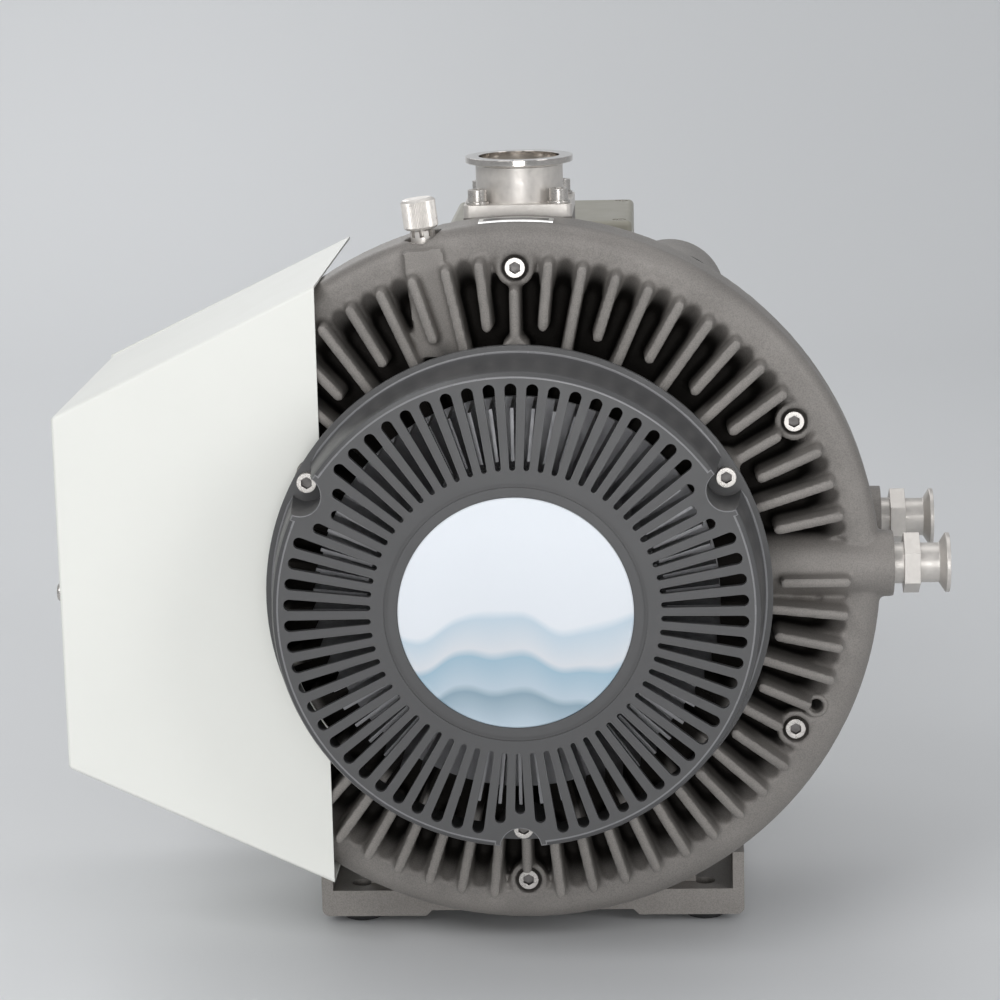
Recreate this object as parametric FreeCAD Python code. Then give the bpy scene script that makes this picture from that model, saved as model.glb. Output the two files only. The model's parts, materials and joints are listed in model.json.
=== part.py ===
import FreeCAD, Part
import math
import os
from FreeCAD import Vector

# A dry scroll vacuum pump. Two fixed scrolls clamp a double-sided orbiting scroll between them.
# A crankshaft through the middle carries a cooling fan in front and is driven by a motor behind.
# It is drawn about the shaft: X to the right, Y back along the shaft, Z up, and Y is 0 at the
# front casting's bolting face. Each piece is moved at the end, so that the origin is on the floor
# in the middle of the four base bolt holes. Lengths are in millimetres, angles in degrees.

# Driving dimensions: overall places
FOOT_HEIGHT = 4.0
PAD_HEIGHT = 10.0
BASE_HOLE_FRONT_Y = 52.0
BASE_HOLE_SPAN_X = 181.0
BASE_HOLE_SPAN_Y = 230.0
SEAT_GAP = 0.3
RUNNING_GAP = 0.05

# Scroll set
WRAP_PITCH = 26.0
WRAP_WALL = 4.2
WRAP_FLANK_GAP = 0.3
WRAP_START_GAP = 8.4
WRAP_HALF_TURNS = 6
WRAP_HEIGHT = 34.0
WRAP_TIP_GAP = 0.5
SEAL_WIDTH = 2.2
SEAL_DEPTH = 3.0
SEAL_PROUD = 0.2
ORBIT_PLATE = 12.0
ORBIT_PLATE_INSET = 11.0
ORBIT_HUB_RADIUS = 31.0

# Front fixed scroll casting
RIM_BAND = 39.0
RIM_DEPTH = 36.0
RIM_ROUND = 9.0
FRONT_PLATE_Y = 14.0
FRONT_PLATE = 12.0
FIN_COUNT = 60
FIN_TOP_Y = -15.0
FIN_WALL = 4.8
FIN_DRAFT = 1.1
FIN_INSET = 16.0
LONG_FIN_INNER = 62.0
SHORT_FIN_LENGTH = 35.0
CHANNEL_INSET = 14.5
CHANNEL_RUN_OUT = 16.0
CHANNEL_START = 140.0
CHANNEL_WIDTHS = (9.6, 8.2)
CHANNEL_FLOOR_WIDTHS = (8.8, 6.4)
SHELF_RADIUS = 151.0
SHELF_SLOPE = 4.0
POST_RADIUS = 7.0
FRONT_HUB_RADIUS = 34.0
FRONT_HUB_Y = -8.0

# Casing screws
CASING_SCREW_INSET = 22.0
CASING_SCREW_COUNT = 6
CASING_SCREW_RADIUS = 3.0
CASING_HEAD_RADIUS = 5.0
CASING_HEAD_HEIGHT = 6.0
COUNTERBORE_RADIUS = 6.6
COUNTERBORE_DEPTH = 6.4
COUNTERBORE_LAND = 3.0
CASING_THREAD_DEPTH = 12.0

RIM_HOLE_INSET = 18.5
RIM_HOLE_ANGLE = -24.4
RIM_HOLE_RADIUS = 3.2
RIM_HOLE_SPOT_RADIUS = 4.7
RIM_HOLE_DEPTH = 26.0
GASKET = 1.0
GASKET_LAND = 3.5

# Rear fixed scroll casting
REAR_STEP = 14.0
REAR_PLATE = 12.0
REAR_FIN_COUNT = 36
REAR_FIN_HEIGHT = 24.0
REAR_FIN_WALL = 4.5
REAR_FIN_GAP = 6.0
REAR_FIN_INSET = 5.0
REAR_HUB_RADIUS = 74.0
REAR_HUB_HEIGHT = 28.0
PAD_X = 68.0
PAD_HALF = 18.0
PAD_SET_BACK = 13.0
SADDLE_SCREW_RADIUS = 4.0

# Pin cranks
PIN_CRANK_OUTSET = 10.5
PIN_CRANK_COUNT = 3
PIN_CRANK_FIRST_ANGLE = 60.0
LOBE_WALL = 3.5
LOBE_POCKET_RADIUS = 25.0
LOBE_FLOOR = 4.0
PIN_RADIUS = 5.0
PIN_HOLE_GAP = 1.5
PIN_SHOULDER = 1.2
PIN_BEARING_RADIUS = 9.5
PIN_BEARING_WIDTH = 5.0
PIN_BOSS_WALL = 4.0
PIN_END_GAP = 3.0
PIN_WEB_RADIUS = 14.0
PIN_WEB = 7.0
PIN_WEB_GAP = 1.0
POCKET_GAP = 4.0
EAR_RADIUS = 15.5
EAR_NECK = 18.0

# Fan cover
COVER_FACE_Y = -69.4
COVER_WALL = 3.0
COVER_FACE_RADIUS = 118.5
COVER_FLANGE_RADIUS = 125.0
COVER_RIM_RADIUS = 121.5
COVER_FLANGE_Y = -31.0
COVER_EDGE_ROUND = 3.0
COVER_SCREW_PCD = 236.6
COVER_SCREW_ANGLES = (30.0, 150.0, 270.0)
COVER_POCKET_RADIUS = 10.0
COVER_SCREW_RADIUS = 2.5
COVER_HEAD_RADIUS = 4.9
COVER_HEAD_HEIGHT = 5.0
COVER_THREAD_DEPTH = 14.0
SLOT_COUNT = 66
SLOT_INNER = 70.2
SLOT_OUTER = 112.5
SLOT_WIDE = 5.8
SLOT_NARROW = 2.8
SLOT_SHORT_OUTER = 104.0
DISC_RADIUS = 57.4
DISC_SEAT = 4.0
DISC_THICK = 2.5
GROOVE_RADIUS = 62.0
GROOVE_WIDTH = 2.0
GROOVE_DEPTH = 0.8

# Front fan
FAN_RADIUS = 99.0
FAN_BLADE_INNER = 70.0
FAN_BLADE_COUNT = 60
FAN_BLADE_WALL = 1.6
FAN_BACK_Y = -26.0
FAN_FRONT_Y = -60.0
FAN_PLATE = 2.5
FAN_HUB_RADIUS = 20.0
FAN_HUB_SET_BACK = 16.0

# Shaft and bearings
FAN_SEAT_RADIUS = 9.0
FRONT_JOURNAL_RADIUS = 12.5
FRONT_BEARING_RADIUS = 26.0
FRONT_BEARING_WIDTH = 15.0
CRANK_PIN_RADIUS = 17.5
CRANK_BEARING_RADIUS = 26.0
CRANK_BEARING_WIDTH = 18.0
REAR_JOURNAL_RADIUS = 15.0
REAR_BEARING_RADIUS = 31.0
REAR_BEARING_WIDTH = 16.0
COUPLING_SEAT_RADIUS = 12.0
SEAL_RING_WIDTH = 5.0
SEAL_RING_RADIUS = 19.0

WEIGHT_THICK = 16.0
WEIGHT_HUB_WALL = 9.0
WEIGHT_STEP = 12.0
FRONT_WEIGHT_RADIUS = 57.0
REAR_WEIGHT_RADIUS = 48.0
COUPLING_RADIUS = 30.0
COUPLING_SPIDER = 14.0
COUPLING_SPIDER_CORE = 17.0
COUPLING_SPIDER_BORE = 10.0
COUPLING_CLAWS = 3
COUPLING_CLAW_GAP = 1.0
COUPLING_ARM = 9.0
COUPLING_END_GAP = 4.0

# Exhausts, both on the right-hand side
EXHAUST_Z = 4.0
FRONT_EXHAUST_Y = 12.0
REAR_EXHAUST_Y = 120.0
EXHAUST_BOSS_PROUD = 6.4
EXHAUST_BOSS_ROOT_X = 96.0
EXHAUST_BOSS_RADIUS = 16.7
EXHAUST_BOSS_TAPER = 1.8
EXHAUST_BORE_RADIUS = 8.0
EXHAUST_THREAD_RADIUS = 10.4
EXHAUST_THREAD_LENGTH = 14.0
EXHAUST_NECK = 5.0
EXHAUST_HEX_FLATS = 27.0
EXHAUST_HEX_LENGTH = 8.0
EXHAUST_LENGTH = 28.0
SMALL_FLANGE_RADIUS = 15.0
SMALL_FLANGE_RIM = 2.0
SMALL_FLANGE_TAPER = 3.2
SMALL_TUBE_RADIUS = 10.0
SMALL_RECESS_RADIUS = 8.6

# Inlet
INLET_Y = 70.0
INLET_HEIGHT = 28.7
INLET_PLATE_HALF = 27.4
INLET_PAD_HEIGHT = 11.6
INLET_PLATE = 6.4
INLET_FLANGE_RADIUS = 27.5
INLET_FLANGE_RIM = 3.0
INLET_FLANGE_TAPER = 3.4
INLET_TUBE_RADIUS = 22.25
INLET_BORE_RADIUS = 19.5
INLET_RECESS_RADIUS = 20.6
INLET_RECESS_DEPTH = 5.0
INLET_SCREW_SPAN = 41.0
INLET_SCREW_RADIUS = 3.0
INLET_HEAD_RADIUS = 4.85
INLET_HEAD_HEIGHT = 6.0
WASHER_RADIUS = 5.9
WASHER = 1.4
INLET_CORNER_ROUND = 3.0
INLET_RING_RADIUS = 21.5
INLET_RING_WIDTH = 3.0
INLET_RING_DEPTH = 2.2
STRAINER = 1.5
STRAINER_RING = 7.0
STRAINER_HOLE = 1.7

# Gas-ballast valve
BALLAST_X = -47.0
BALLAST_Y = 12.0
BALLAST_LEAN = 6.5
BALLAST_BOSS_HALF = 10.0
BALLAST_BOSS_INSET = 12.0
BALLAST_BOSS_HEIGHT = 54.0
BALLAST_BOSS_FRONT_Y = -3.0
BALLAST_BODY_HEIGHT = 8.0
BALLAST_BORE_FLOOR = 12.0
BALLAST_KNOB_RADIUS = 8.6
BALLAST_KNOB_HEIGHT = 16.0
BALLAST_COLLAR_RADIUS = 6.2
BALLAST_COLLAR_SLOTS = 8
BALLAST_COLLAR_SLOT = 2.2
BALLAST_COLLAR_SLOT_HEIGHT = 3.0
BALLAST_RECESS_RADIUS = 9.0
BALLAST_BORE_RADIUS = 3.5
BALLAST_STEM_RADIUS = 1.8
BALLAST_LIFT = 1.25
BALLAST_KNOB_BORE = 4.0
BALLAST_KNURLS = 24
BALLAST_KNURL = 0.5

# Side cover of folded sheet
SIDE_BACK_Y = 172.0
SIDE_INNER_X = -98.0
SIDE_OUTER_X = -231.5
SIDE_TOP_OUTER_Z = 89.0
SIDE_TOP_INNER_Z = 153.0
SIDE_BOTTOM_OUTER_Z = -91.5
SIDE_BOTTOM_INNER_Z = -153.5
SIDE_SHEET = 1.2
SIDE_POST_GAP = 0.4
SIDE_SCREW_Z = -2.0
SIDE_SCREW_FRONT = 10.5
SIDE_SCREW_BACK = 18.0
SIDE_SCREW_RADIUS = 2.0
SIDE_SCREW_LENGTH = 8.0
SIDE_HEAD_RADIUS = 4.6
SIDE_HEAD_HEIGHT = 2.6
BRACKET_WIDTH = 24.0
BRACKET_SHEET = 2.5
BRACKET_FRONT_Y = 10.0
BRACKET_BACK_Y = 34.0
BRACKET_SCREW_YS = (16.0, 28.0)

# Base
BASE_HALF_WIDTH = 111.0
BASE_FRONT_END = 14.0
BASE_BACK_END = 22.0
BASE_PLATE = 14.0
BASE_WALL = 6.0
BASE_COVER_GAP = 2.5
BASE_WALL_LOW = 22.0
BASE_WALL_RAMP = 40.0
BASE_ARCH_HALF = 56.0
BASE_ARCH = 3.0
BASE_BOLT_RADIUS = 5.5
FOOT_RADIUS = 13.5
FOOT_TIP_RADIUS = 9.5
FOOT_EDGE = 1.0
BASE_EDGE_ROUND = 4.0
SADDLE_HEAD = 7.0
SADDLE_HEAD_RADIUS = 6.5
SADDLE_THREAD = 12.0

# Motor
ADAPTER_LENGTH = 70.0
ADAPTER_RADIUS = 58.0
ADAPTER_WALL = 7.0
ADAPTER_FLANGE = 10.0
ADAPTER_SCREW_INSET = 8.0
ADAPTER_SCREW_RADIUS = 4.0
ADAPTER_SCREW_ANGLES = (45.0, 135.0, 225.0, 315.0)
ADAPTER_HEAD_RADIUS = 6.5
MOTOR_SCREW_INSET = 9.0
MOTOR_BARE_ANGLE = 38.0
MOTOR_FLANGE_RADIUS = 80.0
MOTOR_SHIELD = 16.0
MOTOR_RADIUS = 78.0
MOTOR_WALL = 5.0
MOTOR_LENGTH = 142.0
MOTOR_FIN_COUNT = 40
MOTOR_FIN_HEIGHT = 11.0
MOTOR_FIN_WALL = 2.6
MOTOR_STATOR_INNER = 46.0
MOTOR_ROTOR_RADIUS = 45.4
MOTOR_STACK = 84.0
MOTOR_SHAFT_RADIUS = 12.0
MOTOR_BEARING_RADIUS = 26.0
MOTOR_BEARING_WIDTH = 14.0
BEARING_HOUSING_WALL = 6.0
SPIGOT_LENGTH = 5.0
SHIELD_FLANGE = 10.0
COWL_LENGTH = 48.0
COWL_OVERLAP = 8.0
COWL_WALL = 2.0
COWL_SLOT_COUNT = 24
COWL_SLOT_INNER = 26.0
COWL_SLOT_INSET = 19.3
COWL_SLOT_WIDTHS = (3.0, 7.5)
MOTOR_FAN_RADIUS = 68.0
MOTOR_FAN_BLADES = 8
TERMINAL_LEFT_X = -48.0
TERMINAL_RIGHT_X = 55.0
TERMINAL_OVERHANG = 6.0
TERMINAL_DEPTH = 103.0
TERMINAL_HEIGHT = 60.0
TERMINAL_LID = 15.0
TERMINAL_WALL = 3.5
TERMINAL_SEAT = 14.0
WIRE_WAY_RADIUS = 10.0
LID_ROUND = 3.0
LID_POST_RADIUS = 4.5
LID_SCREW_RADIUS = 2.0
LID_HEAD_RADIUS = 3.6
LID_HEAD = 4.0
GLAND_RADIUS = 10.0
GLAND_BORE = 5.5
GLAND_INSET = 39.0
GLAND_RISE = 24.0
FOOT_HALF_WIDTH = 62.0
FOOT_SET_BACK = 18.0
FOOT_LENGTH = 42.0
FOOT_FLANGE = 12.0
FOOT_FLANGE_WIDTH = 16.0
FOOT_WEB_LEAN = 6.0
FOOT_SCREW_HALF = 10.0
FOOT_SCREW_LENGTH = 20.0
FOOT_WINDOW = 20.0

# Nameplate
PLATE_X0 = -18.0
PLATE_X1 = 19.0
PLATE_Y = 8.0
PLATE_WIDTH = 13.0
PLATE_SHEET = 0.8

# Worked out from the driving dimensions
ORBIT_RADIUS = WRAP_PITCH / 2 - WRAP_WALL - WRAP_FLANK_GAP
WRAP_FIRST_RADIUS = ORBIT_HUB_RADIUS + ORBIT_RADIUS + WRAP_WALL / 2 + WRAP_START_GAP
CHAMBER_RADIUS = WRAP_FIRST_RADIUS + (WRAP_HALF_TURNS + 1) * WRAP_PITCH / 2
ORBIT_PLATE_RADIUS = CHAMBER_RADIUS - ORBIT_PLATE_INSET
PIN_CRANK_PCD = 2 * (CHAMBER_RADIUS + PIN_CRANK_OUTSET)
RIM_RADIUS = CHAMBER_RADIUS + RIM_BAND
FIN_OUTER = RIM_RADIUS - FIN_INSET
SHORT_FIN_INNER = FIN_OUTER - SHORT_FIN_LENGTH
CHANNEL_OUTER = RIM_RADIUS - CHANNEL_INSET
CASING_SCREW_PCD = 2 * (RIM_RADIUS - CASING_SCREW_INSET)
RIM_HOLE_PCD = 2 * (RIM_RADIUS - RIM_HOLE_INSET)
REAR_RADIUS = RIM_RADIUS - REAR_STEP
REAR_FIN_INNER = REAR_HUB_RADIUS + REAR_FIN_GAP
REAR_FIN_OUTER = REAR_RADIUS - REAR_FIN_INSET
EXHAUST_BOSS_END_X = RIM_RADIUS + EXHAUST_BOSS_PROUD
INLET_PLATE_Z = REAR_RADIUS + INLET_PAD_HEIGHT
INLET_TOP_Z = INLET_PLATE_Z + INLET_HEIGHT
BALLAST_BOSS_TOP_Z = RIM_RADIUS - BALLAST_BOSS_INSET
BALLAST_BOSS_BOTTOM_Z = BALLAST_BOSS_TOP_Z - BALLAST_BOSS_HEIGHT
BALLAST_BODY_TOP_Z = BALLAST_BOSS_TOP_Z + BALLAST_BODY_HEIGHT
AXIS_HEIGHT = FOOT_HEIGHT + BASE_PLATE + PAD_HEIGHT + REAR_RADIUS
BASE_BOTTOM_Z = FOOT_HEIGHT - AXIS_HEIGHT
BASE_WALL_TOP_Z = SIDE_BOTTOM_INNER_Z - BASE_COVER_GAP
BASE_FRONT_Y = BASE_HOLE_FRONT_Y - BASE_FRONT_END
BASE_BACK_Y = BASE_HOLE_FRONT_Y + BASE_HOLE_SPAN_Y + BASE_BACK_END
FRONT_FACE_Y = FRONT_PLATE_Y + FRONT_PLATE
REAR_FRONT_Y = RIM_DEPTH + GASKET
ORBIT_FRONT_Y = FRONT_FACE_Y + WRAP_HEIGHT
ORBIT_BACK_Y = ORBIT_FRONT_Y + ORBIT_PLATE
REAR_FACE_Y = ORBIT_BACK_Y + WRAP_HEIGHT
REAR_PLATE_BACK_Y = REAR_FACE_Y + REAR_PLATE
PAD_FRONT_Y = REAR_FRONT_Y + PAD_SET_BACK
PAD_BACK_Y = REAR_FACE_Y
HUB_BACK_Y = REAR_PLATE_BACK_Y + REAR_HUB_HEIGHT
ADAPTER_BACK_Y = HUB_BACK_Y + ADAPTER_LENGTH
REAR_WEIGHT_Y = HUB_BACK_Y + 3.0
COUPLING_FRONT_Y = REAR_WEIGHT_Y + WEIGHT_THICK + 2.0
COUPLING_MIDDLE_Y = (COUPLING_FRONT_Y + ADAPTER_BACK_Y - COUPLING_END_GAP) / 2
FRAME_FRONT_Y = ADAPTER_BACK_Y + MOTOR_SHIELD
FRAME_BACK_Y = FRAME_FRONT_Y + MOTOR_LENGTH
REAR_SHIELD_BACK_Y = FRAME_BACK_Y + MOTOR_SHIELD
COWL_BACK_Y = FRAME_BACK_Y + COWL_LENGTH
COWL_FRONT_Y = FRAME_BACK_Y - COWL_OVERLAP
COWL_RADIUS = MOTOR_RADIUS + MOTOR_FIN_HEIGHT + SEAT_GAP + COWL_WALL
ADAPTER_SCREW_PCD = 2 * (REAR_HUB_RADIUS - ADAPTER_SCREW_INSET)
MOTOR_SCREW_PCD = 2 * (MOTOR_FLANGE_RADIUS - MOTOR_SCREW_INSET)
FOOT_FRONT_Y = FRAME_FRONT_Y + FOOT_SET_BACK
FOOT_BACK_Y = FOOT_FRONT_Y + FOOT_LENGTH
TERMINAL_FRONT_Y = FRAME_FRONT_Y - TERMINAL_OVERHANG
TERMINAL_BACK_Y = TERMINAL_FRONT_Y + TERMINAL_DEPTH
TERMINAL_SEAT_Z = MOTOR_RADIUS + TERMINAL_SEAT
TERMINAL_TOP_Z = TERMINAL_SEAT_Z + TERMINAL_HEIGHT
GLAND_Y = TERMINAL_BACK_Y - GLAND_INSET
GLAND_Z = TERMINAL_SEAT_Z + GLAND_RISE
BASE_TOP_Z = BASE_BOTTOM_Z + BASE_PLATE
FOOT_WINDOW_Z = (BASE_TOP_Z - MOTOR_RADIUS) / 2
SIDE_SLOPE = (SIDE_TOP_INNER_Z - SIDE_TOP_OUTER_Z) / (SIDE_INNER_X - SIDE_OUTER_X)
SIDE_SLOPE_GROWTH = math.sqrt(1 + SIDE_SLOPE ** 2)
LOBE_RADIUS = LOBE_POCKET_RADIUS + LOBE_WALL
POCKET_BACK_Y = ORBIT_BACK_Y + PIN_WEB + POCKET_GAP
PIN_BEARING_BACK_Y = POCKET_BACK_Y + PIN_BEARING_WIDTH
SIDE_FRONT_Y = FIN_TOP_Y - SEAT_GAP - SIDE_SHEET
BRACKET_ANGLE = 180.0 - math.degrees(math.asin(SIDE_SCREW_Z / RIM_RADIUS))
BASE_HOLE_XS = (-BASE_HOLE_SPAN_X / 2, BASE_HOLE_SPAN_X / 2)
BASE_HOLE_YS = (BASE_HOLE_FRONT_Y, BASE_HOLE_FRONT_Y + BASE_HOLE_SPAN_Y)
ORIGIN_SHIFT = Vector(0, -BASE_HOLE_FRONT_Y - BASE_HOLE_SPAN_Y / 2, AXIS_HEIGHT)
PIN_CRANK_ANGLES = [PIN_CRANK_FIRST_ANGLE + 360.0 * i / PIN_CRANK_COUNT for i in range(PIN_CRANK_COUNT)]
CASING_SCREW_ANGLES = [90.0 + 360.0 * i / CASING_SCREW_COUNT for i in range(CASING_SCREW_COUNT)]


# Helpers
def turned(profile):
    """A solid of revolution about the shaft axis, from (y, radius) points."""
    points = [Vector(radius, y, 0) for y, radius in profile]
    face = Part.Face(Part.makePolygon(points + points[:1]))
    return face.revolve(Vector(0, 0, 0), Vector(0, 1, 0), 360)


def along_x(radius, x0, x1, y, z):
    return Part.makeCylinder(radius, x1 - x0, Vector(x0, y, z), Vector(1, 0, 0))


def along_y(radius, y0, y1, x=0.0, z=0.0):
    return Part.makeCylinder(radius, y1 - y0, Vector(x, y0, z), Vector(0, 1, 0))


def along_z(radius, z0, z1, x, y):
    return Part.makeCylinder(radius, z1 - z0, Vector(x, y, z0), Vector(0, 0, 1))


def block(x0, x1, y0, y1, z0, z1):
    return Part.makeBox(x1 - x0, y1 - y0, z1 - z0, Vector(x0, y0, z0))


def at_angle(shape, degrees):
    """A copy turned about the shaft axis, counted from +X towards +Z."""
    turned_copy = shape.copy()
    turned_copy.rotate(Vector(0, 0, 0), Vector(0, 1, 0), -degrees)
    return turned_copy


def on_circle(pcd, degrees):
    """The X and Z of a point on a bolt circle about the shaft."""
    angle = math.radians(degrees)
    return pcd / 2 * math.cos(angle), pcd / 2 * math.sin(angle)


def joined(shapes):
    shapes = list(shapes)
    return shapes[0].multiFuse(shapes[1:]) if len(shapes) > 1 else shapes[0]


def group(shapes):
    return Part.makeCompound(list(shapes))


def stadium(r0, r1, wide0, wide1, y):
    """A radial outline with half-round ends, along +X at height y; wide0 is its width at r0."""
    a, b = wide0 / 2, wide1 / 2
    edges = [
        Part.makeLine(Vector(r0 + a, y, a), Vector(r1 - b, y, b)),
        Part.Arc(Vector(r1 - b, y, b), Vector(r1, y, 0), Vector(r1 - b, y, -b)).toShape(),
        Part.makeLine(Vector(r1 - b, y, -b), Vector(r0 + a, y, -a)),
        Part.Arc(Vector(r0 + a, y, -a), Vector(r0, y, 0), Vector(r0 + a, y, a)).toShape(),
    ]
    return Part.Wire(edges)


def prism(wire, depth):
    return Part.Face(wire).extrude(Vector(0, depth, 0))


def regular(radius_to_flat, sides, centre, axis):
    """A polygon face with its flats at the given distance, normal to axis."""
    corner = radius_to_flat / math.cos(math.pi / sides)
    first = Vector(0, 0, 1) if axis.z == 0 else Vector(1, 0, 0)
    second = axis.cross(first)
    points = []
    for i in range(sides + 1):
        angle = 2 * math.pi * i / sides
        points.append(centre + first * (corner * math.cos(angle)) + second * (corner * math.sin(angle)))
    return Part.Face(Part.makePolygon(points))


def socket_screw(tip, axis, shank_radius, shank_length, head_radius, head_height):
    """A socket-head screw: tip is the middle of the head's seat, axis points out of the head."""
    shank = Part.makeCylinder(shank_radius, shank_length, tip - axis * shank_length, axis)
    head = Part.makeCylinder(head_radius, head_height, tip, axis)
    socket_depth = head_height * 0.55
    floor = tip + axis * (head_height - socket_depth)
    socket = regular(head_radius * 0.52, 6, floor, axis).extrude(axis * socket_depth)
    return shank.fuse(head).cut(socket)


def bearing(y0, width, bore, outer, x=0.0, z=0.0):
    """A shielded ball bearing drawn as one ring with its shields set back from the race faces."""
    set_back = 0.8
    race = (outer - bore) * 0.26
    ring = along_y(outer, y0, y0 + width, x, z)
    ring = ring.cut(along_y(bore + RUNNING_GAP, y0, y0 + width, x, z))
    for face_y in (y0, y0 + width - set_back):
        recess = along_y(outer - race, face_y, face_y + set_back, x, z)
        ring = ring.cut(recess.cut(along_y(bore + race, face_y, face_y + set_back, x, z)))
    return ring


def leaned(shape):
    """The gas-ballast valve leans towards the side cover, about the middle of its knob."""
    middle = Vector(BALLAST_X, BALLAST_Y, BALLAST_BODY_TOP_Z + BALLAST_KNOB_HEIGHT / 2)
    shape.rotate(middle, Vector(0, 1, 0), -BALLAST_LEAN)
    return shape


# Scroll wraps: a spiral of half circles whose centres lie half a pitch apart in turn
def wrap_face(width, y, first_turn=0, last_turn=WRAP_HALF_TURNS):
    offset = WRAP_PITCH / 4
    outer, inner = [], []
    for k in range(first_turn, last_turn):
        centre_x = -offset if k % 2 == 0 else offset
        side = 1 if k % 2 == 0 else -1
        middle = WRAP_FIRST_RADIUS + k * WRAP_PITCH / 2
        for radius, edges in ((middle + width / 2, outer), (middle - width / 2, inner)):
            start = Vector(centre_x + side * radius, y, 0)
            top = Vector(centre_x, y, side * radius)
            end = Vector(centre_x - side * radius, y, 0)
            edges.append((start, top, end))
    arcs = [Part.Arc(a, b, c).toShape() for a, b, c in outer]
    arcs += [Part.Arc(c, b, a).toShape() for a, b, c in reversed(inner)]
    direction = 1 if (last_turn - 1) % 2 == 0 else -1
    tip = (outer[-1][2] + inner[-1][2]) / 2 - Vector(0, 0, direction * width / 2)
    root = (outer[0][0] + inner[0][0]) / 2 - Vector(0, 0, width / 2)
    arcs.insert(len(outer), Part.Arc(outer[-1][2], tip, inner[-1][2]).toShape())
    arcs.append(Part.Arc(inner[0][0], root, outer[0][0]).toShape())
    return Part.Face(Part.Wire(Part.__sortEdges__(arcs)))


def wrap(base_y, tip_y):
    """A wrap from its plate to its tip, with the groove for the tip seal."""
    toward = 1 if tip_y > base_y else -1
    solid = wrap_face(WRAP_WALL, base_y).extrude(Vector(0, tip_y - base_y, 0))
    groove_y = tip_y - toward * (SEAL_DEPTH - SEAL_PROUD)
    groove = wrap_face(SEAL_WIDTH, groove_y).extrude(Vector(0, toward * SEAL_DEPTH, 0))
    return solid.cut(groove), groove


def front_fin(angle, inner, outer):
    """A cast cooling fin with drafted sides and half-round ends, from inner to outer along its top."""
    height = FRONT_PLATE_Y - FIN_TOP_Y
    top_half = FIN_WALL / 2
    root_half = top_half + FIN_DRAFT
    start, end = inner + top_half, outer - top_half
    section = [Vector(start, FIN_TOP_Y, top_half), Vector(start, FRONT_PLATE_Y, root_half),
               Vector(start, FRONT_PLATE_Y, -root_half), Vector(start, FIN_TOP_Y, -top_half)]
    middle = Part.Face(Part.makePolygon(section + section[:1])).extrude(Vector(end - start, 0, 0))
    ends = []
    for x, turn in ((start, 180.0), (end, 0.0)):
        half_cone = Part.makeCone(root_half, top_half, height, Vector(0, 0, 0), Vector(0, 0, 1), 180.0)
        half_cone.rotate(Vector(0, 0, 0), Vector(1, 0, 0), 90.0)
        half_cone.rotate(Vector(0, 0, 0), Vector(0, 1, 0), turn + 90.0)
        half_cone.translate(Vector(x, FRONT_PLATE_Y, 0))
        ends.append(half_cone)
    return at_angle(joined([middle] + ends), angle)


def fin_channel(angle):
    """Where the channel between two fins runs out in the rim: a pocket whose rounded end slopes up."""
    above = -1.0
    mouth = stadium(CHANNEL_START, CHANNEL_OUTER, *CHANNEL_WIDTHS, above)
    floor = stadium(CHANNEL_START, CHANNEL_OUTER - CHANNEL_RUN_OUT, *CHANNEL_FLOOR_WIDTHS, FRONT_PLATE_Y)
    return at_angle(Part.makeLoft([mouth, floor], True, True), angle)


# Castings of the pump
def front_shell():
    """The front casting without its fins: the plate and the rim, with the channels' ends cut into it."""
    shell = turned([
        (FRONT_PLATE_Y, 0), (FRONT_PLATE_Y, SHELF_RADIUS - SHELF_SLOPE), (0, SHELF_RADIUS),
        (0, RIM_RADIUS), (RIM_DEPTH, RIM_RADIUS), (RIM_DEPTH, CHAMBER_RADIUS),
        (FRONT_FACE_Y, CHAMBER_RADIUS), (FRONT_FACE_Y, 0),
    ])
    corner = [e for e in shell.Edges if abs(e.BoundBox.YMax) < 0.1 and e.BoundBox.XMax > RIM_RADIUS - 1.0]
    shell = shell.makeFillet(RIM_ROUND, corner)
    channels = [fin_channel(90.0 - 360.0 * (k + 0.5) / FIN_COUNT) for k in range(FIN_COUNT)]
    shell = shell.cut(group(channels))
    for angle in fin_angles():
        if by_exhaust_boss(angle):
            shell = shell.cut(fin_channel(angle))
    return shell


def fin_angles():
    return [90.0 - 360.0 * k / FIN_COUNT for k in range(FIN_COUNT)]


def by_exhaust_boss(angle):
    """Whether the exhaust boss takes the place of the fin at this angle."""
    around = (angle + 180.0) % 360.0 - 180.0
    return 0 < around < math.degrees(math.asin(EXHAUST_BOSS_RADIUS / CHAMBER_RADIUS))


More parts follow.
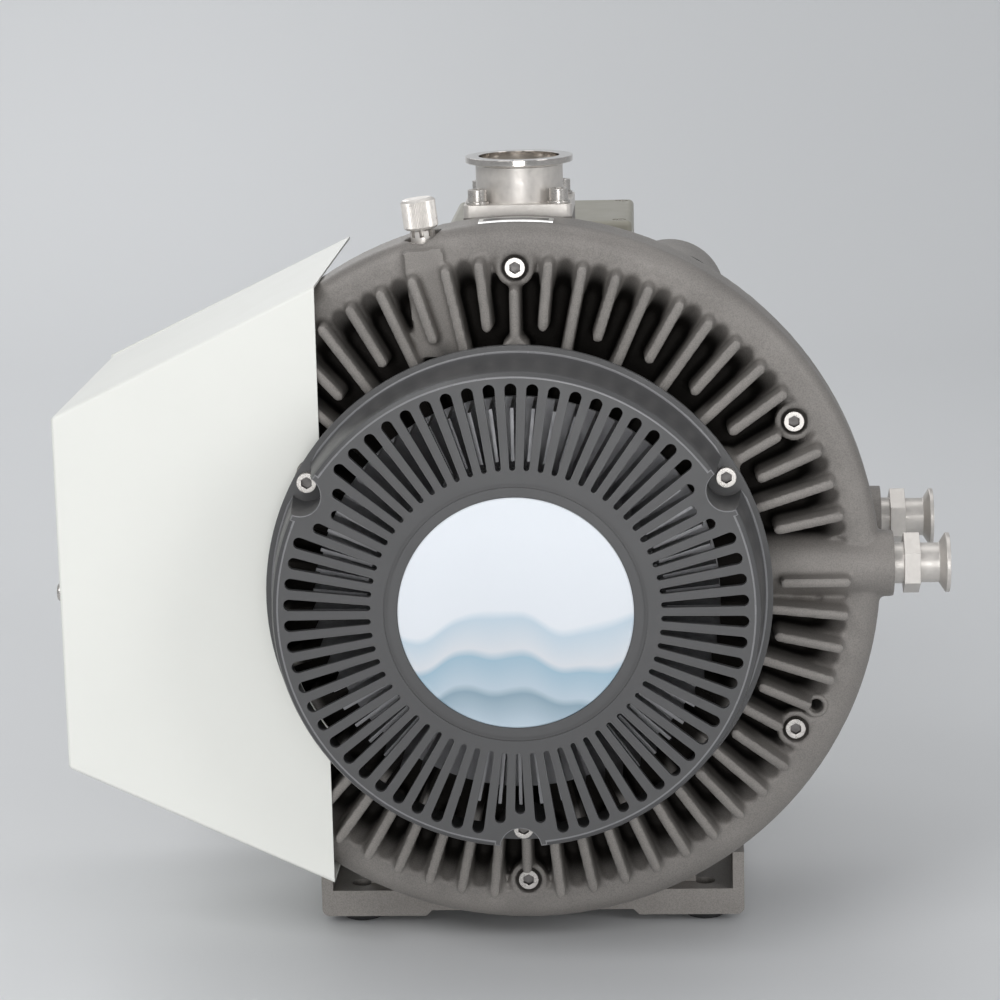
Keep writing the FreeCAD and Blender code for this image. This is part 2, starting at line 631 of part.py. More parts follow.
def front_fixed_scroll():
    added = [front_shell(), along_y(FRONT_HUB_RADIUS, FRONT_HUB_Y, FRONT_FACE_Y)]
    for k, angle in enumerate(fin_angles()):
        if by_exhaust_boss(angle):
            continue
        on_screw = k % (FIN_COUNT // CASING_SCREW_COUNT) == 0
        inner = SHORT_FIN_INNER if k % 2 else LONG_FIN_INNER
        outer = CASING_SCREW_PCD / 2 - COUNTERBORE_RADIUS - COUNTERBORE_LAND / 2 if on_screw else FIN_OUTER
        added.append(front_fin(angle, inner, outer))
    for angle in CASING_SCREW_ANGLES:
        x, z = on_circle(CASING_SCREW_PCD, angle)
        added.append(along_y(COUNTERBORE_RADIUS + COUNTERBORE_LAND, 0, FRONT_PLATE_Y, x, z))
        x, z = on_circle(COVER_SCREW_PCD, angle)
        seated = any(abs(angle % 360.0 - seat) < 1.0 for seat in COVER_SCREW_ANGLES)
        added.append(along_y(POST_RADIUS, COVER_FLANGE_Y if seated else FIN_TOP_Y, FRONT_PLATE_Y, x, z))
    added.append(leaned(block(BALLAST_X - BALLAST_BOSS_HALF, BALLAST_X + BALLAST_BOSS_HALF,
                              BALLAST_BOSS_FRONT_Y, FRONT_FACE_Y, BALLAST_BOSS_BOTTOM_Z, BALLAST_BOSS_TOP_Z)))
    added.append(exhaust_boss(FRONT_EXHAUST_Y))
    added.append(along_x(EXHAUST_BORE_RADIUS + 4.0, FRONT_HUB_RADIUS - 4.0, EXHAUST_BOSS_ROOT_X + 4.0,
                         FRONT_EXHAUST_Y, EXHAUST_Z))
    body = joined(added).cut(along_y(CHAMBER_RADIUS, FRONT_FACE_Y, RIM_DEPTH))
    solid_wrap, _ = wrap(FRONT_FACE_Y, ORBIT_FRONT_Y - WRAP_TIP_GAP)
    body = body.fuse(solid_wrap)
    cuts = [
        along_y(FRONT_BEARING_RADIUS, FRONT_HUB_Y + SEAL_RING_WIDTH + 3.0, FRONT_FACE_Y - 4.0),
        along_y(SEAL_RING_RADIUS, FRONT_HUB_Y, FRONT_HUB_Y + SEAL_RING_WIDTH + 3.0),
        along_y(FRONT_JOURNAL_RADIUS + 1.5, FRONT_HUB_Y, FRONT_FACE_Y),
        along_x(EXHAUST_BORE_RADIUS, FRONT_HUB_RADIUS + 6.0, EXHAUST_BOSS_END_X, FRONT_EXHAUST_Y, EXHAUST_Z),
        along_x(EXHAUST_THREAD_RADIUS, EXHAUST_BOSS_END_X - EXHAUST_THREAD_LENGTH, EXHAUST_BOSS_END_X,
                FRONT_EXHAUST_Y, EXHAUST_Z),
        along_y(4.0, FRONT_EXHAUST_Y, FRONT_FACE_Y, FRONT_HUB_RADIUS + 10.0, EXHAUST_Z),
        leaned(along_z(BALLAST_BORE_RADIUS, BALLAST_BOSS_BOTTOM_Z + BALLAST_BORE_FLOOR, BALLAST_BOSS_TOP_Z,
                       BALLAST_X, BALLAST_Y)),
        leaned(along_z(BALLAST_RECESS_RADIUS, BALLAST_BOSS_TOP_Z, RIM_RADIUS, BALLAST_X, BALLAST_Y)),
        rim_hole(),
    ]
    for angle in CASING_SCREW_ANGLES:
        x, z = on_circle(CASING_SCREW_PCD, angle)
        cuts.append(along_y(CASING_SCREW_RADIUS + SEAT_GAP, 0, RIM_DEPTH, x, z))
        cuts.append(along_y(COUNTERBORE_RADIUS, FIN_TOP_Y, COUNTERBORE_DEPTH, x, z))
    for angle in COVER_SCREW_ANGLES:
        x, z = on_circle(COVER_SCREW_PCD, angle)
        cuts.append(along_y(COVER_SCREW_RADIUS, COVER_FLANGE_Y, COVER_FLANGE_Y + COVER_THREAD_DEPTH, x, z))
    for y in BRACKET_SCREW_YS:
        cuts.append(at_angle(along_x(SIDE_SCREW_RADIUS, RIM_RADIUS - SIDE_SCREW_LENGTH, RIM_RADIUS, y, 0),
                             BRACKET_ANGLE))
    return body.cut(joined(cuts))


def rim_hole():
    """A spot-faced and countersunk blind hole in the rim, which also trims the end of a fin."""
    x, z = on_circle(RIM_HOLE_PCD, RIM_HOLE_ANGLE)
    sink = RIM_HOLE_SPOT_RADIUS - RIM_HOLE_RADIUS
    spot = along_y(RIM_HOLE_SPOT_RADIUS, FIN_TOP_Y - 1.0, 0, x, z)
    cone = Part.makeCone(RIM_HOLE_SPOT_RADIUS, RIM_HOLE_RADIUS, sink, Vector(x, 0, z), Vector(0, 1, 0))
    return joined([spot, cone, along_y(RIM_HOLE_RADIUS, 0, RIM_HOLE_DEPTH, x, z)])


def exhaust_boss(y):
    """A tapered round boss that runs out to the exhaust fitting."""
    return Part.makeCone(EXHAUST_BOSS_RADIUS + EXHAUST_BOSS_TAPER, EXHAUST_BOSS_RADIUS,
                         EXHAUST_BOSS_END_X - EXHAUST_BOSS_ROOT_X, Vector(EXHAUST_BOSS_ROOT_X, y, EXHAUST_Z),
                         Vector(1, 0, 0))


def casing_gasket():
    sheet = [along_y(REAR_RADIUS, RIM_DEPTH, REAR_FRONT_Y)]
    holes = [along_y(CHAMBER_RADIUS, RIM_DEPTH, REAR_FRONT_Y)]
    for angle in PIN_CRANK_ANGLES:
        x, z = on_circle(PIN_CRANK_PCD, angle)
        sheet.append(along_y(LOBE_POCKET_RADIUS + GASKET_LAND, RIM_DEPTH, REAR_FRONT_Y, x, z))
        holes.append(along_y(LOBE_POCKET_RADIUS, RIM_DEPTH, REAR_FRONT_Y, x, z))
    for angle in CASING_SCREW_ANGLES:
        x, z = on_circle(CASING_SCREW_PCD, angle)
        holes.append(along_y(CASING_SCREW_RADIUS + SEAT_GAP, RIM_DEPTH, REAR_FRONT_Y, x, z))
    return joined(sheet).cut(joined(holes))


def rear_fixed_scroll():
    shell = turned([
        (REAR_FRONT_Y, CHAMBER_RADIUS), (REAR_FRONT_Y, REAR_RADIUS), (REAR_PLATE_BACK_Y - 6.0, REAR_RADIUS),
        (REAR_PLATE_BACK_Y, REAR_RADIUS - 4.0), (REAR_PLATE_BACK_Y, 0), (REAR_FACE_Y, 0),
        (REAR_FACE_Y, CHAMBER_RADIUS),
    ])
    boss_back_y = PIN_BEARING_BACK_Y + PIN_END_GAP + LOBE_FLOOR
    added = [shell, along_y(REAR_HUB_RADIUS, REAR_PLATE_BACK_Y - 1.0, HUB_BACK_Y)]
    for angle in PIN_CRANK_ANGLES:
        x, z = on_circle(PIN_CRANK_PCD, angle)
        added.append(along_y(LOBE_RADIUS, REAR_FRONT_Y, POCKET_BACK_Y + LOBE_FLOOR, x, z))
        added.append(along_y(PIN_BEARING_RADIUS + PIN_BOSS_WALL, POCKET_BACK_Y, boss_back_y, x, z))
    fin = block(REAR_FIN_INNER, REAR_FIN_OUTER, REAR_PLATE_BACK_Y - 1.0, REAR_PLATE_BACK_Y + REAR_FIN_HEIGHT,
                -REAR_FIN_WALL / 2, REAR_FIN_WALL / 2)
    for k in range(REAR_FIN_COUNT):
        added.append(at_angle(fin, 360.0 * (k + 0.5) / REAR_FIN_COUNT))
    inlet_root = math.sqrt(REAR_RADIUS ** 2 - INLET_PLATE_HALF ** 2) - 6.0
    added.append(block(-INLET_PLATE_HALF, INLET_PLATE_HALF, INLET_Y - INLET_PLATE_HALF,
                       INLET_Y + INLET_PLATE_HALF, inlet_root, INLET_PLATE_Z))
    added.append(exhaust_boss(REAR_EXHAUST_Y))
    added.append(along_x(EXHAUST_BORE_RADIUS + 4.0, CRANK_BEARING_RADIUS, EXHAUST_BOSS_ROOT_X + 4.0,
                         REAR_EXHAUST_Y, EXHAUST_Z))
    body = joined(added)
    pockets = [along_y(LOBE_POCKET_RADIUS, REAR_FRONT_Y, POCKET_BACK_Y, *on_circle(PIN_CRANK_PCD, angle))
               for angle in PIN_CRANK_ANGLES]
    body = body.cut(joined(pockets + [along_y(CHAMBER_RADIUS, REAR_FRONT_Y, REAR_FACE_Y)]))
    solid_wrap, _ = wrap(REAR_FACE_Y, ORBIT_BACK_Y + WRAP_TIP_GAP)
    body = body.fuse(solid_wrap)
    bearing_front_y = REAR_FACE_Y + 6.0
    cuts = [
        along_y(REAR_BEARING_RADIUS, bearing_front_y, HUB_BACK_Y - 4.0),
        along_y(REAR_JOURNAL_RADIUS + 4.0, REAR_FACE_Y, HUB_BACK_Y),
        along_x(EXHAUST_BORE_RADIUS, REAR_BEARING_RADIUS + 6.0, EXHAUST_BOSS_END_X, REAR_EXHAUST_Y,
                EXHAUST_Z),
        along_x(EXHAUST_THREAD_RADIUS, EXHAUST_BOSS_END_X - EXHAUST_THREAD_LENGTH, EXHAUST_BOSS_END_X,
                REAR_EXHAUST_Y, EXHAUST_Z),
        along_y(4.0, REAR_FACE_Y, REAR_EXHAUST_Y, FRONT_HUB_RADIUS + 10.0, EXHAUST_Z),
        along_z(INLET_BORE_RADIUS, CHAMBER_RADIUS - 6.0, INLET_PLATE_Z, 0, INLET_Y),
    ]
    for angle in PIN_CRANK_ANGLES:
        x, z = on_circle(PIN_CRANK_PCD, angle)
        cuts.append(along_y(PIN_BEARING_RADIUS, POCKET_BACK_Y, PIN_BEARING_BACK_Y, x, z))
        cuts.append(along_y(PIN_RADIUS + PIN_HOLE_GAP, ORBIT_BACK_Y, PIN_BEARING_BACK_Y + PIN_END_GAP, x, z))
    for angle in CASING_SCREW_ANGLES:
        x, z = on_circle(CASING_SCREW_PCD, angle)
        cuts.append(along_y(CASING_SCREW_RADIUS, REAR_FRONT_Y, REAR_FRONT_Y + CASING_THREAD_DEPTH, x, z))
    for x, y in inlet_screw_places():
        cuts.append(along_z(INLET_SCREW_RADIUS, INLET_PLATE_Z - 10.0, INLET_PLATE_Z, x, y))
    for angle in ADAPTER_SCREW_ANGLES:
        x, z = on_circle(ADAPTER_SCREW_PCD, angle)
        cuts.append(along_y(ADAPTER_SCREW_RADIUS, HUB_BACK_Y - 14.0, HUB_BACK_Y, x, z))
    return body.cut(joined(cuts))


def casing_pads():
    """The casing's two pads on the base, drawn apart from it so that the gap between them stays open."""
    pads = joined([block(middle - PAD_HALF, middle + PAD_HALF, PAD_FRONT_Y, PAD_BACK_Y, BASE_TOP_Z,
                         -CHAMBER_RADIUS) for middle in (-PAD_X, PAD_X)])
    holes = [along_z(SADDLE_SCREW_RADIUS, BASE_TOP_Z, BASE_TOP_Z + SADDLE_THREAD, x, y)
             for x, y in saddle_screw_places()]
    lobes = [along_y(LOBE_RADIUS, PAD_FRONT_Y, POCKET_BACK_Y + LOBE_FLOOR, *on_circle(PIN_CRANK_PCD, angle))
             for angle in PIN_CRANK_ANGLES]
    return pads.cut(joined(holes + lobes + [along_y(REAR_RADIUS, PAD_FRONT_Y, PAD_BACK_Y)]))


def inlet_screw_places():
    half = INLET_SCREW_SPAN / 2
    return [(sx * half, INLET_Y + sy * half) for sx in (-1, 1) for sy in (-1, 1)]


def saddle_screw_places():
    middle = (PAD_FRONT_Y + PAD_BACK_Y) / 2
    half = (PAD_BACK_Y - PAD_FRONT_Y) / 4
    return [(sx * PAD_X, middle + sy * half) for sx in (-1, 1) for sy in (-1, 1)]


def casing_screws():
    screws = []
    length = RIM_DEPTH + GASKET - COUNTERBORE_DEPTH + CASING_THREAD_DEPTH - 2.0
    for angle in CASING_SCREW_ANGLES:
        x, z = on_circle(CASING_SCREW_PCD, angle)
        screws.append(socket_screw(Vector(x, COUNTERBORE_DEPTH, z), Vector(0, -1, 0), CASING_SCREW_RADIUS,
                                   length, CASING_HEAD_RADIUS, CASING_HEAD_HEIGHT))
    return group(screws)


# Moving scroll and its bearings
def orbit_centre():
    return Vector(ORBIT_RADIUS, 0, 0)


def orbiting_scroll():
    plate = along_y(ORBIT_PLATE_RADIUS, ORBIT_FRONT_Y, ORBIT_BACK_Y)
    hub = along_y(ORBIT_HUB_RADIUS, FRONT_FACE_Y + WRAP_TIP_GAP, REAR_FACE_Y - WRAP_TIP_GAP)
    front_wrap, _ = wrap(ORBIT_FRONT_Y, FRONT_FACE_Y + WRAP_TIP_GAP)
    rear_wrap, _ = wrap(ORBIT_BACK_Y, REAR_FACE_Y - WRAP_TIP_GAP)
    added = [plate, hub, at_angle(front_wrap, 180.0), at_angle(rear_wrap, 180.0)]
    for angle in PIN_CRANK_ANGLES:
        x, z = on_circle(PIN_CRANK_PCD, angle)
        added.append(along_y(EAR_RADIUS, ORBIT_FRONT_Y, ORBIT_BACK_Y, x, z))
        neck = block(ORBIT_PLATE_RADIUS - 6.0, PIN_CRANK_PCD / 2, ORBIT_FRONT_Y, ORBIT_BACK_Y, -EAR_NECK / 2,
                     EAR_NECK / 2)
        added.append(at_angle(neck, angle))
    body = joined(added)
    cuts = [along_y(CRANK_BEARING_RADIUS, FRONT_FACE_Y, REAR_FACE_Y)]
    for angle in PIN_CRANK_ANGLES:
        x, z = on_circle(PIN_CRANK_PCD, angle)
        cuts.append(along_y(PIN_BEARING_RADIUS, ORBIT_BACK_Y - PIN_BEARING_WIDTH, ORBIT_BACK_Y, x, z))
        cuts.append(along_y(PIN_RADIUS + PIN_HOLE_GAP, ORBIT_FRONT_Y, ORBIT_BACK_Y, x, z))
    body = body.cut(joined(cuts))
    body.translate(orbit_centre())
    return body


def crank_bearing_fronts():
    """The front faces of the two needle bearings inside the orbiting hub."""
    return (FRONT_FACE_Y + WRAP_TIP_GAP + 6.0, REAR_FACE_Y - WRAP_TIP_GAP - 6.0 - CRANK_BEARING_WIDTH)


def orbit_bearings():
    rings = [bearing(y, CRANK_BEARING_WIDTH, CRANK_PIN_RADIUS, CRANK_BEARING_RADIUS)
             for y in crank_bearing_fronts()]
    for angle in PIN_CRANK_ANGLES:
        x, z = on_circle(PIN_CRANK_PCD, angle)
        rings.append(bearing(ORBIT_BACK_Y - PIN_BEARING_WIDTH, PIN_BEARING_WIDTH, PIN_RADIUS,
                             PIN_BEARING_RADIUS, x, z))
    rings = group(rings)
    rings.translate(orbit_centre())
    return rings


def fixed_tip_seals():
    _, front = wrap(FRONT_FACE_Y, ORBIT_FRONT_Y - WRAP_TIP_GAP)
    _, rear = wrap(REAR_FACE_Y, ORBIT_BACK_Y + WRAP_TIP_GAP)
    return group([front, rear])


def orbit_tip_seals():
    _, front = wrap(ORBIT_FRONT_Y, FRONT_FACE_Y + WRAP_TIP_GAP)
    _, rear = wrap(ORBIT_BACK_Y, REAR_FACE_Y - WRAP_TIP_GAP)
    seals = group([at_angle(front, 180.0), at_angle(rear, 180.0)])
    seals.translate(orbit_centre())
    return seals


def pin_crank(angle):
    x, z = on_circle(PIN_CRANK_PCD, angle)
    web_front = ORBIT_BACK_Y + PIN_WEB_GAP
    web_back = web_front + PIN_WEB
    web = along_y(PIN_WEB_RADIUS, web_front, web_back, x, z)
    orbit_pin = along_y(PIN_RADIUS, ORBIT_BACK_Y - PIN_BEARING_WIDTH - 2.0, web_front, x + ORBIT_RADIUS, z)
    fixed_pin = along_y(PIN_RADIUS, web_back, PIN_BEARING_BACK_Y + PIN_END_GAP / 2, x, z)
    shoulder = along_y(PIN_RADIUS + PIN_SHOULDER, web_back, POCKET_BACK_Y, x, z)
    return joined([web, orbit_pin, fixed_pin, shoulder])


def pin_crank_bearings():
    rings = []
    for angle in PIN_CRANK_ANGLES:
        x, z = on_circle(PIN_CRANK_PCD, angle)
        rings.append(bearing(PIN_BEARING_BACK_Y - PIN_BEARING_WIDTH, PIN_BEARING_WIDTH, PIN_RADIUS,
                             PIN_BEARING_RADIUS, x, z))
    return group(rings)


# Shaft and what turns with it
def crankshaft():
    pin_front = FRONT_FACE_Y + 2.0
    pin_back = REAR_FACE_Y - 2.0
    tail_end = COUPLING_MIDDLE_Y - COUPLING_SPIDER / 2 - 1.0
    main = turned([
        (FAN_FRONT_Y + 6.0, 0), (FAN_FRONT_Y + 6.0, FAN_SEAT_RADIUS), (FAN_BACK_Y, FAN_SEAT_RADIUS),
        (FAN_BACK_Y, FRONT_JOURNAL_RADIUS), (pin_front, FRONT_JOURNAL_RADIUS), (pin_front, 0),
    ])
    tail = turned([
        (pin_back, 0), (pin_back, REAR_JOURNAL_RADIUS), (HUB_BACK_Y - 2.0, REAR_JOURNAL_RADIUS),
        (HUB_BACK_Y - 2.0, COUPLING_SEAT_RADIUS), (tail_end, COUPLING_SEAT_RADIUS), (tail_end, 0),
    ])
    pin = along_y(CRANK_PIN_RADIUS, pin_front, pin_back, ORBIT_RADIUS, 0)
    collar = along_y(REAR_JOURNAL_RADIUS + 1.0, pin_back, REAR_FACE_Y + 6.0)
    return joined([main, pin, tail, collar])


def counterweight(y0, outer, bore):
    """A half-disc balance weight opposite the crank pin, on a round hub."""
    y1 = y0 + WEIGHT_THICK
    hub = along_y(bore + WEIGHT_HUB_WALL, y0, y1)
    sector = along_y(outer, y0, y1).cut(block(-WEIGHT_STEP, outer, y0, y1, -outer, outer))
    return hub.fuse(sector).cut(along_y(bore, y0, y1))


def front_fan():
    plate_front = FAN_BACK_Y - FAN_PLATE
    hub_front = FAN_FRONT_Y + FAN_HUB_SET_BACK
    hub_root = FAN_HUB_RADIUS + 6.0
    plate = along_y(FAN_RADIUS, plate_front, FAN_BACK_Y)
    hub = turned([
        (FAN_BACK_Y, FAN_SEAT_RADIUS), (FAN_BACK_Y, hub_root), (plate_front, hub_root),
        (hub_front, FAN_HUB_RADIUS), (hub_front, FAN_SEAT_RADIUS),
    ])
    lip = 3.0
    blade_face = Part.Face(Part.makePolygon([
        Vector(FAN_BLADE_INNER, plate_front, 0), Vector(FAN_RADIUS, plate_front, 0),
        Vector(FAN_RADIUS, FAN_FRONT_Y, 0), Vector(FAN_BLADE_INNER + lip, FAN_FRONT_Y, 0),
        Vector(FAN_BLADE_INNER, FAN_FRONT_Y + lip, 0), Vector(FAN_BLADE_INNER, plate_front, 0),
    ]))
    blade = blade_face.extrude(Vector(0, 0, FAN_BLADE_WALL))
    blade.translate(Vector(0, 0.2, -FAN_BLADE_WALL / 2))
    blades = [at_angle(blade, 360.0 * k / FAN_BLADE_COUNT) for k in range(FAN_BLADE_COUNT)]
    return joined([plate, hub] + blades).cut(along_y(FAN_SEAT_RADIUS, FAN_FRONT_Y, FAN_BACK_Y))


def fan_nut():
    seat_y = FAN_FRONT_Y + FAN_HUB_SET_BACK
    nut = regular(13.0, 6, Vector(0, seat_y, 0), Vector(0, -1, 0)).extrude(Vector(0, -8.0, 0))
    return nut.cut(along_y(FAN_SEAT_RADIUS, FAN_FRONT_Y, seat_y))


def coupling_hub(y0, y1, bore, claws_toward):
    """A hub with claws that fill every second sector between the spider's arms."""
    hub = along_y(COUPLING_RADIUS, y0, y1).cut(along_y(bore, y0, y1))
    claw_length = COUPLING_SPIDER - COUPLING_CLAW_GAP
    claw_y = y1 if claws_toward > 0 else y0 - claw_length
    ring = along_y(COUPLING_RADIUS, claw_y, claw_y + claw_length)
    ring = ring.cut(along_y(COUPLING_SPIDER_CORE + COUPLING_CLAW_GAP, claw_y, claw_y + claw_length))
    half_sector = math.pi / (2 * COUPLING_CLAWS)
    reach = COUPLING_RADIUS + 1.0
    corners = [Vector(0, claw_y, 0), Vector(reach, claw_y, reach * math.tan(half_sector)),
               Vector(reach, claw_y, -reach * math.tan(half_sector))]
    sector = Part.Face(Part.makePolygon(corners + corners[:1])).extrude(Vector(0, claw_length, 0))
    first_angle = 0.0 if claws_toward > 0 else 180.0 / COUPLING_CLAWS
    sectors = [at_angle(sector, first_angle + 360.0 * k / COUPLING_CLAWS) for k in range(COUPLING_CLAWS)]
    claws = ring.common(joined(sectors)).cut(joined(spider_arms(claw_y, claw_y + claw_length)))
    return hub.fuse(claws)


def spider_arms(y0, y1):
    arm = block(0, COUPLING_RADIUS - COUPLING_CLAW_GAP, y0, y1, -COUPLING_ARM / 2, COUPLING_ARM / 2)
    return [at_angle(arm, 180.0 * (k + 0.5) / COUPLING_CLAWS) for k in range(2 * COUPLING_CLAWS)]


def coupling_hubs():
    middle = COUPLING_MIDDLE_Y
    front_hub = coupling_hub(COUPLING_FRONT_Y, middle - COUPLING_SPIDER / 2, COUPLING_SEAT_RADIUS, 1)
    rear_hub = coupling_hub(middle + COUPLING_SPIDER / 2, ADAPTER_BACK_Y - COUPLING_END_GAP,
                            MOTOR_SHAFT_RADIUS, -1)
    return group([front_hub, rear_hub])


def coupling_spider():
    y0 = COUPLING_MIDDLE_Y - COUPLING_SPIDER / 2
    y1 = y0 + COUPLING_SPIDER
    star = joined([along_y(COUPLING_SPIDER_CORE, y0, y1)] + spider_arms(y0, y1))
    return star.cut(along_y(COUPLING_SPIDER_BORE, y0, y1))


def shaft_seals():
    front = along_y(SEAL_RING_RADIUS, FRONT_HUB_Y + 1.0, FRONT_HUB_Y + 1.0 + SEAL_RING_WIDTH)
    front = front.cut(along_y(FRONT_JOURNAL_RADIUS + RUNNING_GAP, FRONT_HUB_Y, FRONT_FACE_Y))
    rear_back = HUB_BACK_Y - 4.0
    rear = along_y(REAR_BEARING_RADIUS, rear_back - SEAL_RING_WIDTH, rear_back)
    rear = rear.cut(along_y(REAR_JOURNAL_RADIUS + RUNNING_GAP, REAR_FACE_Y, HUB_BACK_Y))
    return group([front, rear])


def main_bearings():
    front_y = FRONT_HUB_Y + SEAL_RING_WIDTH + 3.0
    front = bearing(front_y, FRONT_BEARING_WIDTH, FRONT_JOURNAL_RADIUS, FRONT_BEARING_RADIUS)
    rear = bearing(REAR_FACE_Y + 6.0, REAR_BEARING_WIDTH, REAR_JOURNAL_RADIUS, REAR_BEARING_RADIUS)
    return group([front, rear])


# Fan cover
def fan_cover():
    inner_face_y = COVER_FACE_Y + COVER_WALL
    round_in = COVER_EDGE_ROUND
    shell = turned([
        (COVER_FACE_Y, DISC_RADIUS - DISC_SEAT), (COVER_FACE_Y, COVER_FACE_RADIUS - round_in),
        (COVER_FACE_Y + round_in * 0.3, COVER_FACE_RADIUS - round_in * 0.3),
        (COVER_FACE_Y + round_in, COVER_FACE_RADIUS), (COVER_FLANGE_Y - COVER_WALL, COVER_RIM_RADIUS),
        (COVER_FLANGE_Y - COVER_WALL, COVER_FLANGE_RADIUS), (COVER_FLANGE_Y, COVER_FLANGE_RADIUS),
        (COVER_FLANGE_Y, COVER_RIM_RADIUS - COVER_WALL), (inner_face_y, COVER_FACE_RADIUS - COVER_WALL),
        (inner_face_y, DISC_RADIUS - DISC_SEAT),
    ])
    pockets, walls = [], []
    for angle in COVER_SCREW_ANGLES:
        x, z = on_circle(COVER_SCREW_PCD, angle)
        outside = along_y(COVER_FLANGE_RADIUS + 20.0, COVER_FACE_Y, COVER_FLANGE_Y)
        outside = outside.cut(along_y(COVER_FLANGE_RADIUS, COVER_FACE_Y, COVER_FLANGE_Y))
        wall = along_y(COVER_POCKET_RADIUS + COVER_WALL, COVER_FACE_Y, COVER_FLANGE_Y, x, z).cut(outside)
        walls.append(wall)
        pockets.append(along_y(COVER_POCKET_RADIUS, COVER_FACE_Y, COVER_FLANGE_Y - COVER_WALL, x, z))
        pockets.append(along_y(COVER_SCREW_RADIUS + SEAT_GAP, COVER_FACE_Y, COVER_FLANGE_Y, x, z))
    cone = turned([
        (COVER_FACE_Y, 0), (COVER_FACE_Y, COVER_FACE_RADIUS - 1.0),
        (COVER_FLANGE_Y, COVER_RIM_RADIUS), (COVER_FLANGE_Y, 0),
    ])
    shell = shell.fuse(joined(walls).common(cone))
    slots = [at_angle(cover_slot(k), 90.0 - 360.0 * k / SLOT_COUNT) for k in range(SLOT_COUNT)]
    ring = along_y(GROOVE_RADIUS + GROOVE_WIDTH, COVER_FACE_Y, COVER_FACE_Y + GROOVE_DEPTH)
    ring = ring.cut(along_y(GROOVE_RADIUS, COVER_FACE_Y, COVER_FACE_Y + GROOVE_DEPTH))
    seat = along_y(DISC_RADIUS, COVER_FACE_Y, COVER_FACE_Y + DISC_THICK * 0.6)
    return shell.cut(group(slots + pockets)).cut(ring).cut(seat)


def cover_slot(k):
    """One radial slot; those beside a screw pocket stop short of it."""
    angle = 90.0 - 360.0 * k / SLOT_COUNT
    nearest = min(abs((angle - seat + 180.0) % 360.0 - 180.0) for seat in COVER_SCREW_ANGLES)
    pitch = 360.0 / SLOT_COUNT
    outer = SLOT_OUTER
    if nearest < 0.75 * pitch:
        outer = SLOT_SHORT_OUTER - 3.0
    elif nearest < 1.75 * pitch:
        outer = SLOT_SHORT_OUTER + 2.0
    wide = SLOT_NARROW + (SLOT_WIDE - SLOT_NARROW) * (outer - SLOT_INNER) / (SLOT_OUTER - SLOT_INNER)
    return prism(stadium(SLOT_INNER, outer, SLOT_NARROW, wide, COVER_FACE_Y - 1.0), COVER_WALL + 2.0)


def centre_disc():
    front = COVER_FACE_Y + DISC_THICK * 0.6 - DISC_THICK
    return turned([
        (front, 0), (front, DISC_RADIUS - 1.2), (front + 0.6, DISC_RADIUS - SEAT_GAP),
        (front + DISC_THICK, DISC_RADIUS - SEAT_GAP), (front + DISC_THICK, 0),
    ])


def fan_cover_screws():
    screws = []
    for angle in COVER_SCREW_ANGLES:
        x, z = on_circle(COVER_SCREW_PCD, angle)
        seat = Vector(x, COVER_FLANGE_Y - COVER_WALL, z)
        length = COVER_WALL + COVER_THREAD_DEPTH - 2.0
        screws.append(socket_screw(seat, Vector(0, -1, 0), COVER_SCREW_RADIUS, length, COVER_HEAD_RADIUS,
                                   COVER_HEAD_HEIGHT))
    return group(screws)


# Inlet
def turned_up(profile, x, y):
    """A solid of revolution about a vertical axis, from (z, radius) points."""
    points = [Vector(x + radius, y, z) for z, radius in profile]
    face = Part.Face(Part.makePolygon(points + points[:1]))
    return face.revolve(Vector(x, y, 0), Vector(0, 0, 1), 360)


def inlet_flange():
    plate_top = INLET_PLATE_Z + INLET_PLATE
    rim_z = INLET_TOP_Z - INLET_FLANGE_RIM
    tube = turned_up([
        (INLET_PLATE_Z, INLET_BORE_RADIUS), (INLET_PLATE_Z, INLET_TUBE_RADIUS),
        (rim_z - INLET_FLANGE_TAPER * 0.4, INLET_TUBE_RADIUS), (rim_z, INLET_FLANGE_RADIUS),
        (INLET_TOP_Z, INLET_FLANGE_RADIUS), (INLET_TOP_Z, INLET_RECESS_RADIUS),
        (INLET_TOP_Z - INLET_RECESS_DEPTH, INLET_RECESS_RADIUS),
        (INLET_TOP_Z - INLET_RECESS_DEPTH, INLET_BORE_RADIUS),
    ], 0, INLET_Y)
    plate = block(-INLET_PLATE_HALF, INLET_PLATE_HALF, INLET_Y - INLET_PLATE_HALF, INLET_Y + INLET_PLATE_HALF,
                  INLET_PLATE_Z, plate_top)
    corners = [e for e in plate.Edges if abs(e.Vertexes[0].Z - e.Vertexes[-1].Z) > 1.0]
    plate = plate.makeFillet(INLET_CORNER_ROUND, corners)
    body = plate.fuse(tube)
    cuts = [along_z(INLET_BORE_RADIUS, INLET_PLATE_Z, plate_top, 0, INLET_Y)]
    groove = along_z(INLET_RING_RADIUS + INLET_RING_WIDTH, INLET_PLATE_Z, INLET_PLATE_Z + INLET_RING_DEPTH, 0,
                     INLET_Y)
    cuts.append(groove.cut(along_z(INLET_RING_RADIUS, INLET_PLATE_Z, plate_top, 0, INLET_Y)))
    for x, y in inlet_screw_places():
        cuts.append(along_z(INLET_SCREW_RADIUS + SEAT_GAP, INLET_PLATE_Z, plate_top, x, y))
    return body.cut(joined(cuts))


def inlet_o_ring():
    ring = along_z(INLET_RING_RADIUS + INLET_RING_WIDTH, INLET_PLATE_Z, INLET_PLATE_Z + INLET_RING_DEPTH, 0,
                   INLET_Y)
    return ring.cut(along_z(INLET_RING_RADIUS, INLET_PLATE_Z, INLET_PLATE_Z + INLET_RING_DEPTH, 0, INLET_Y))


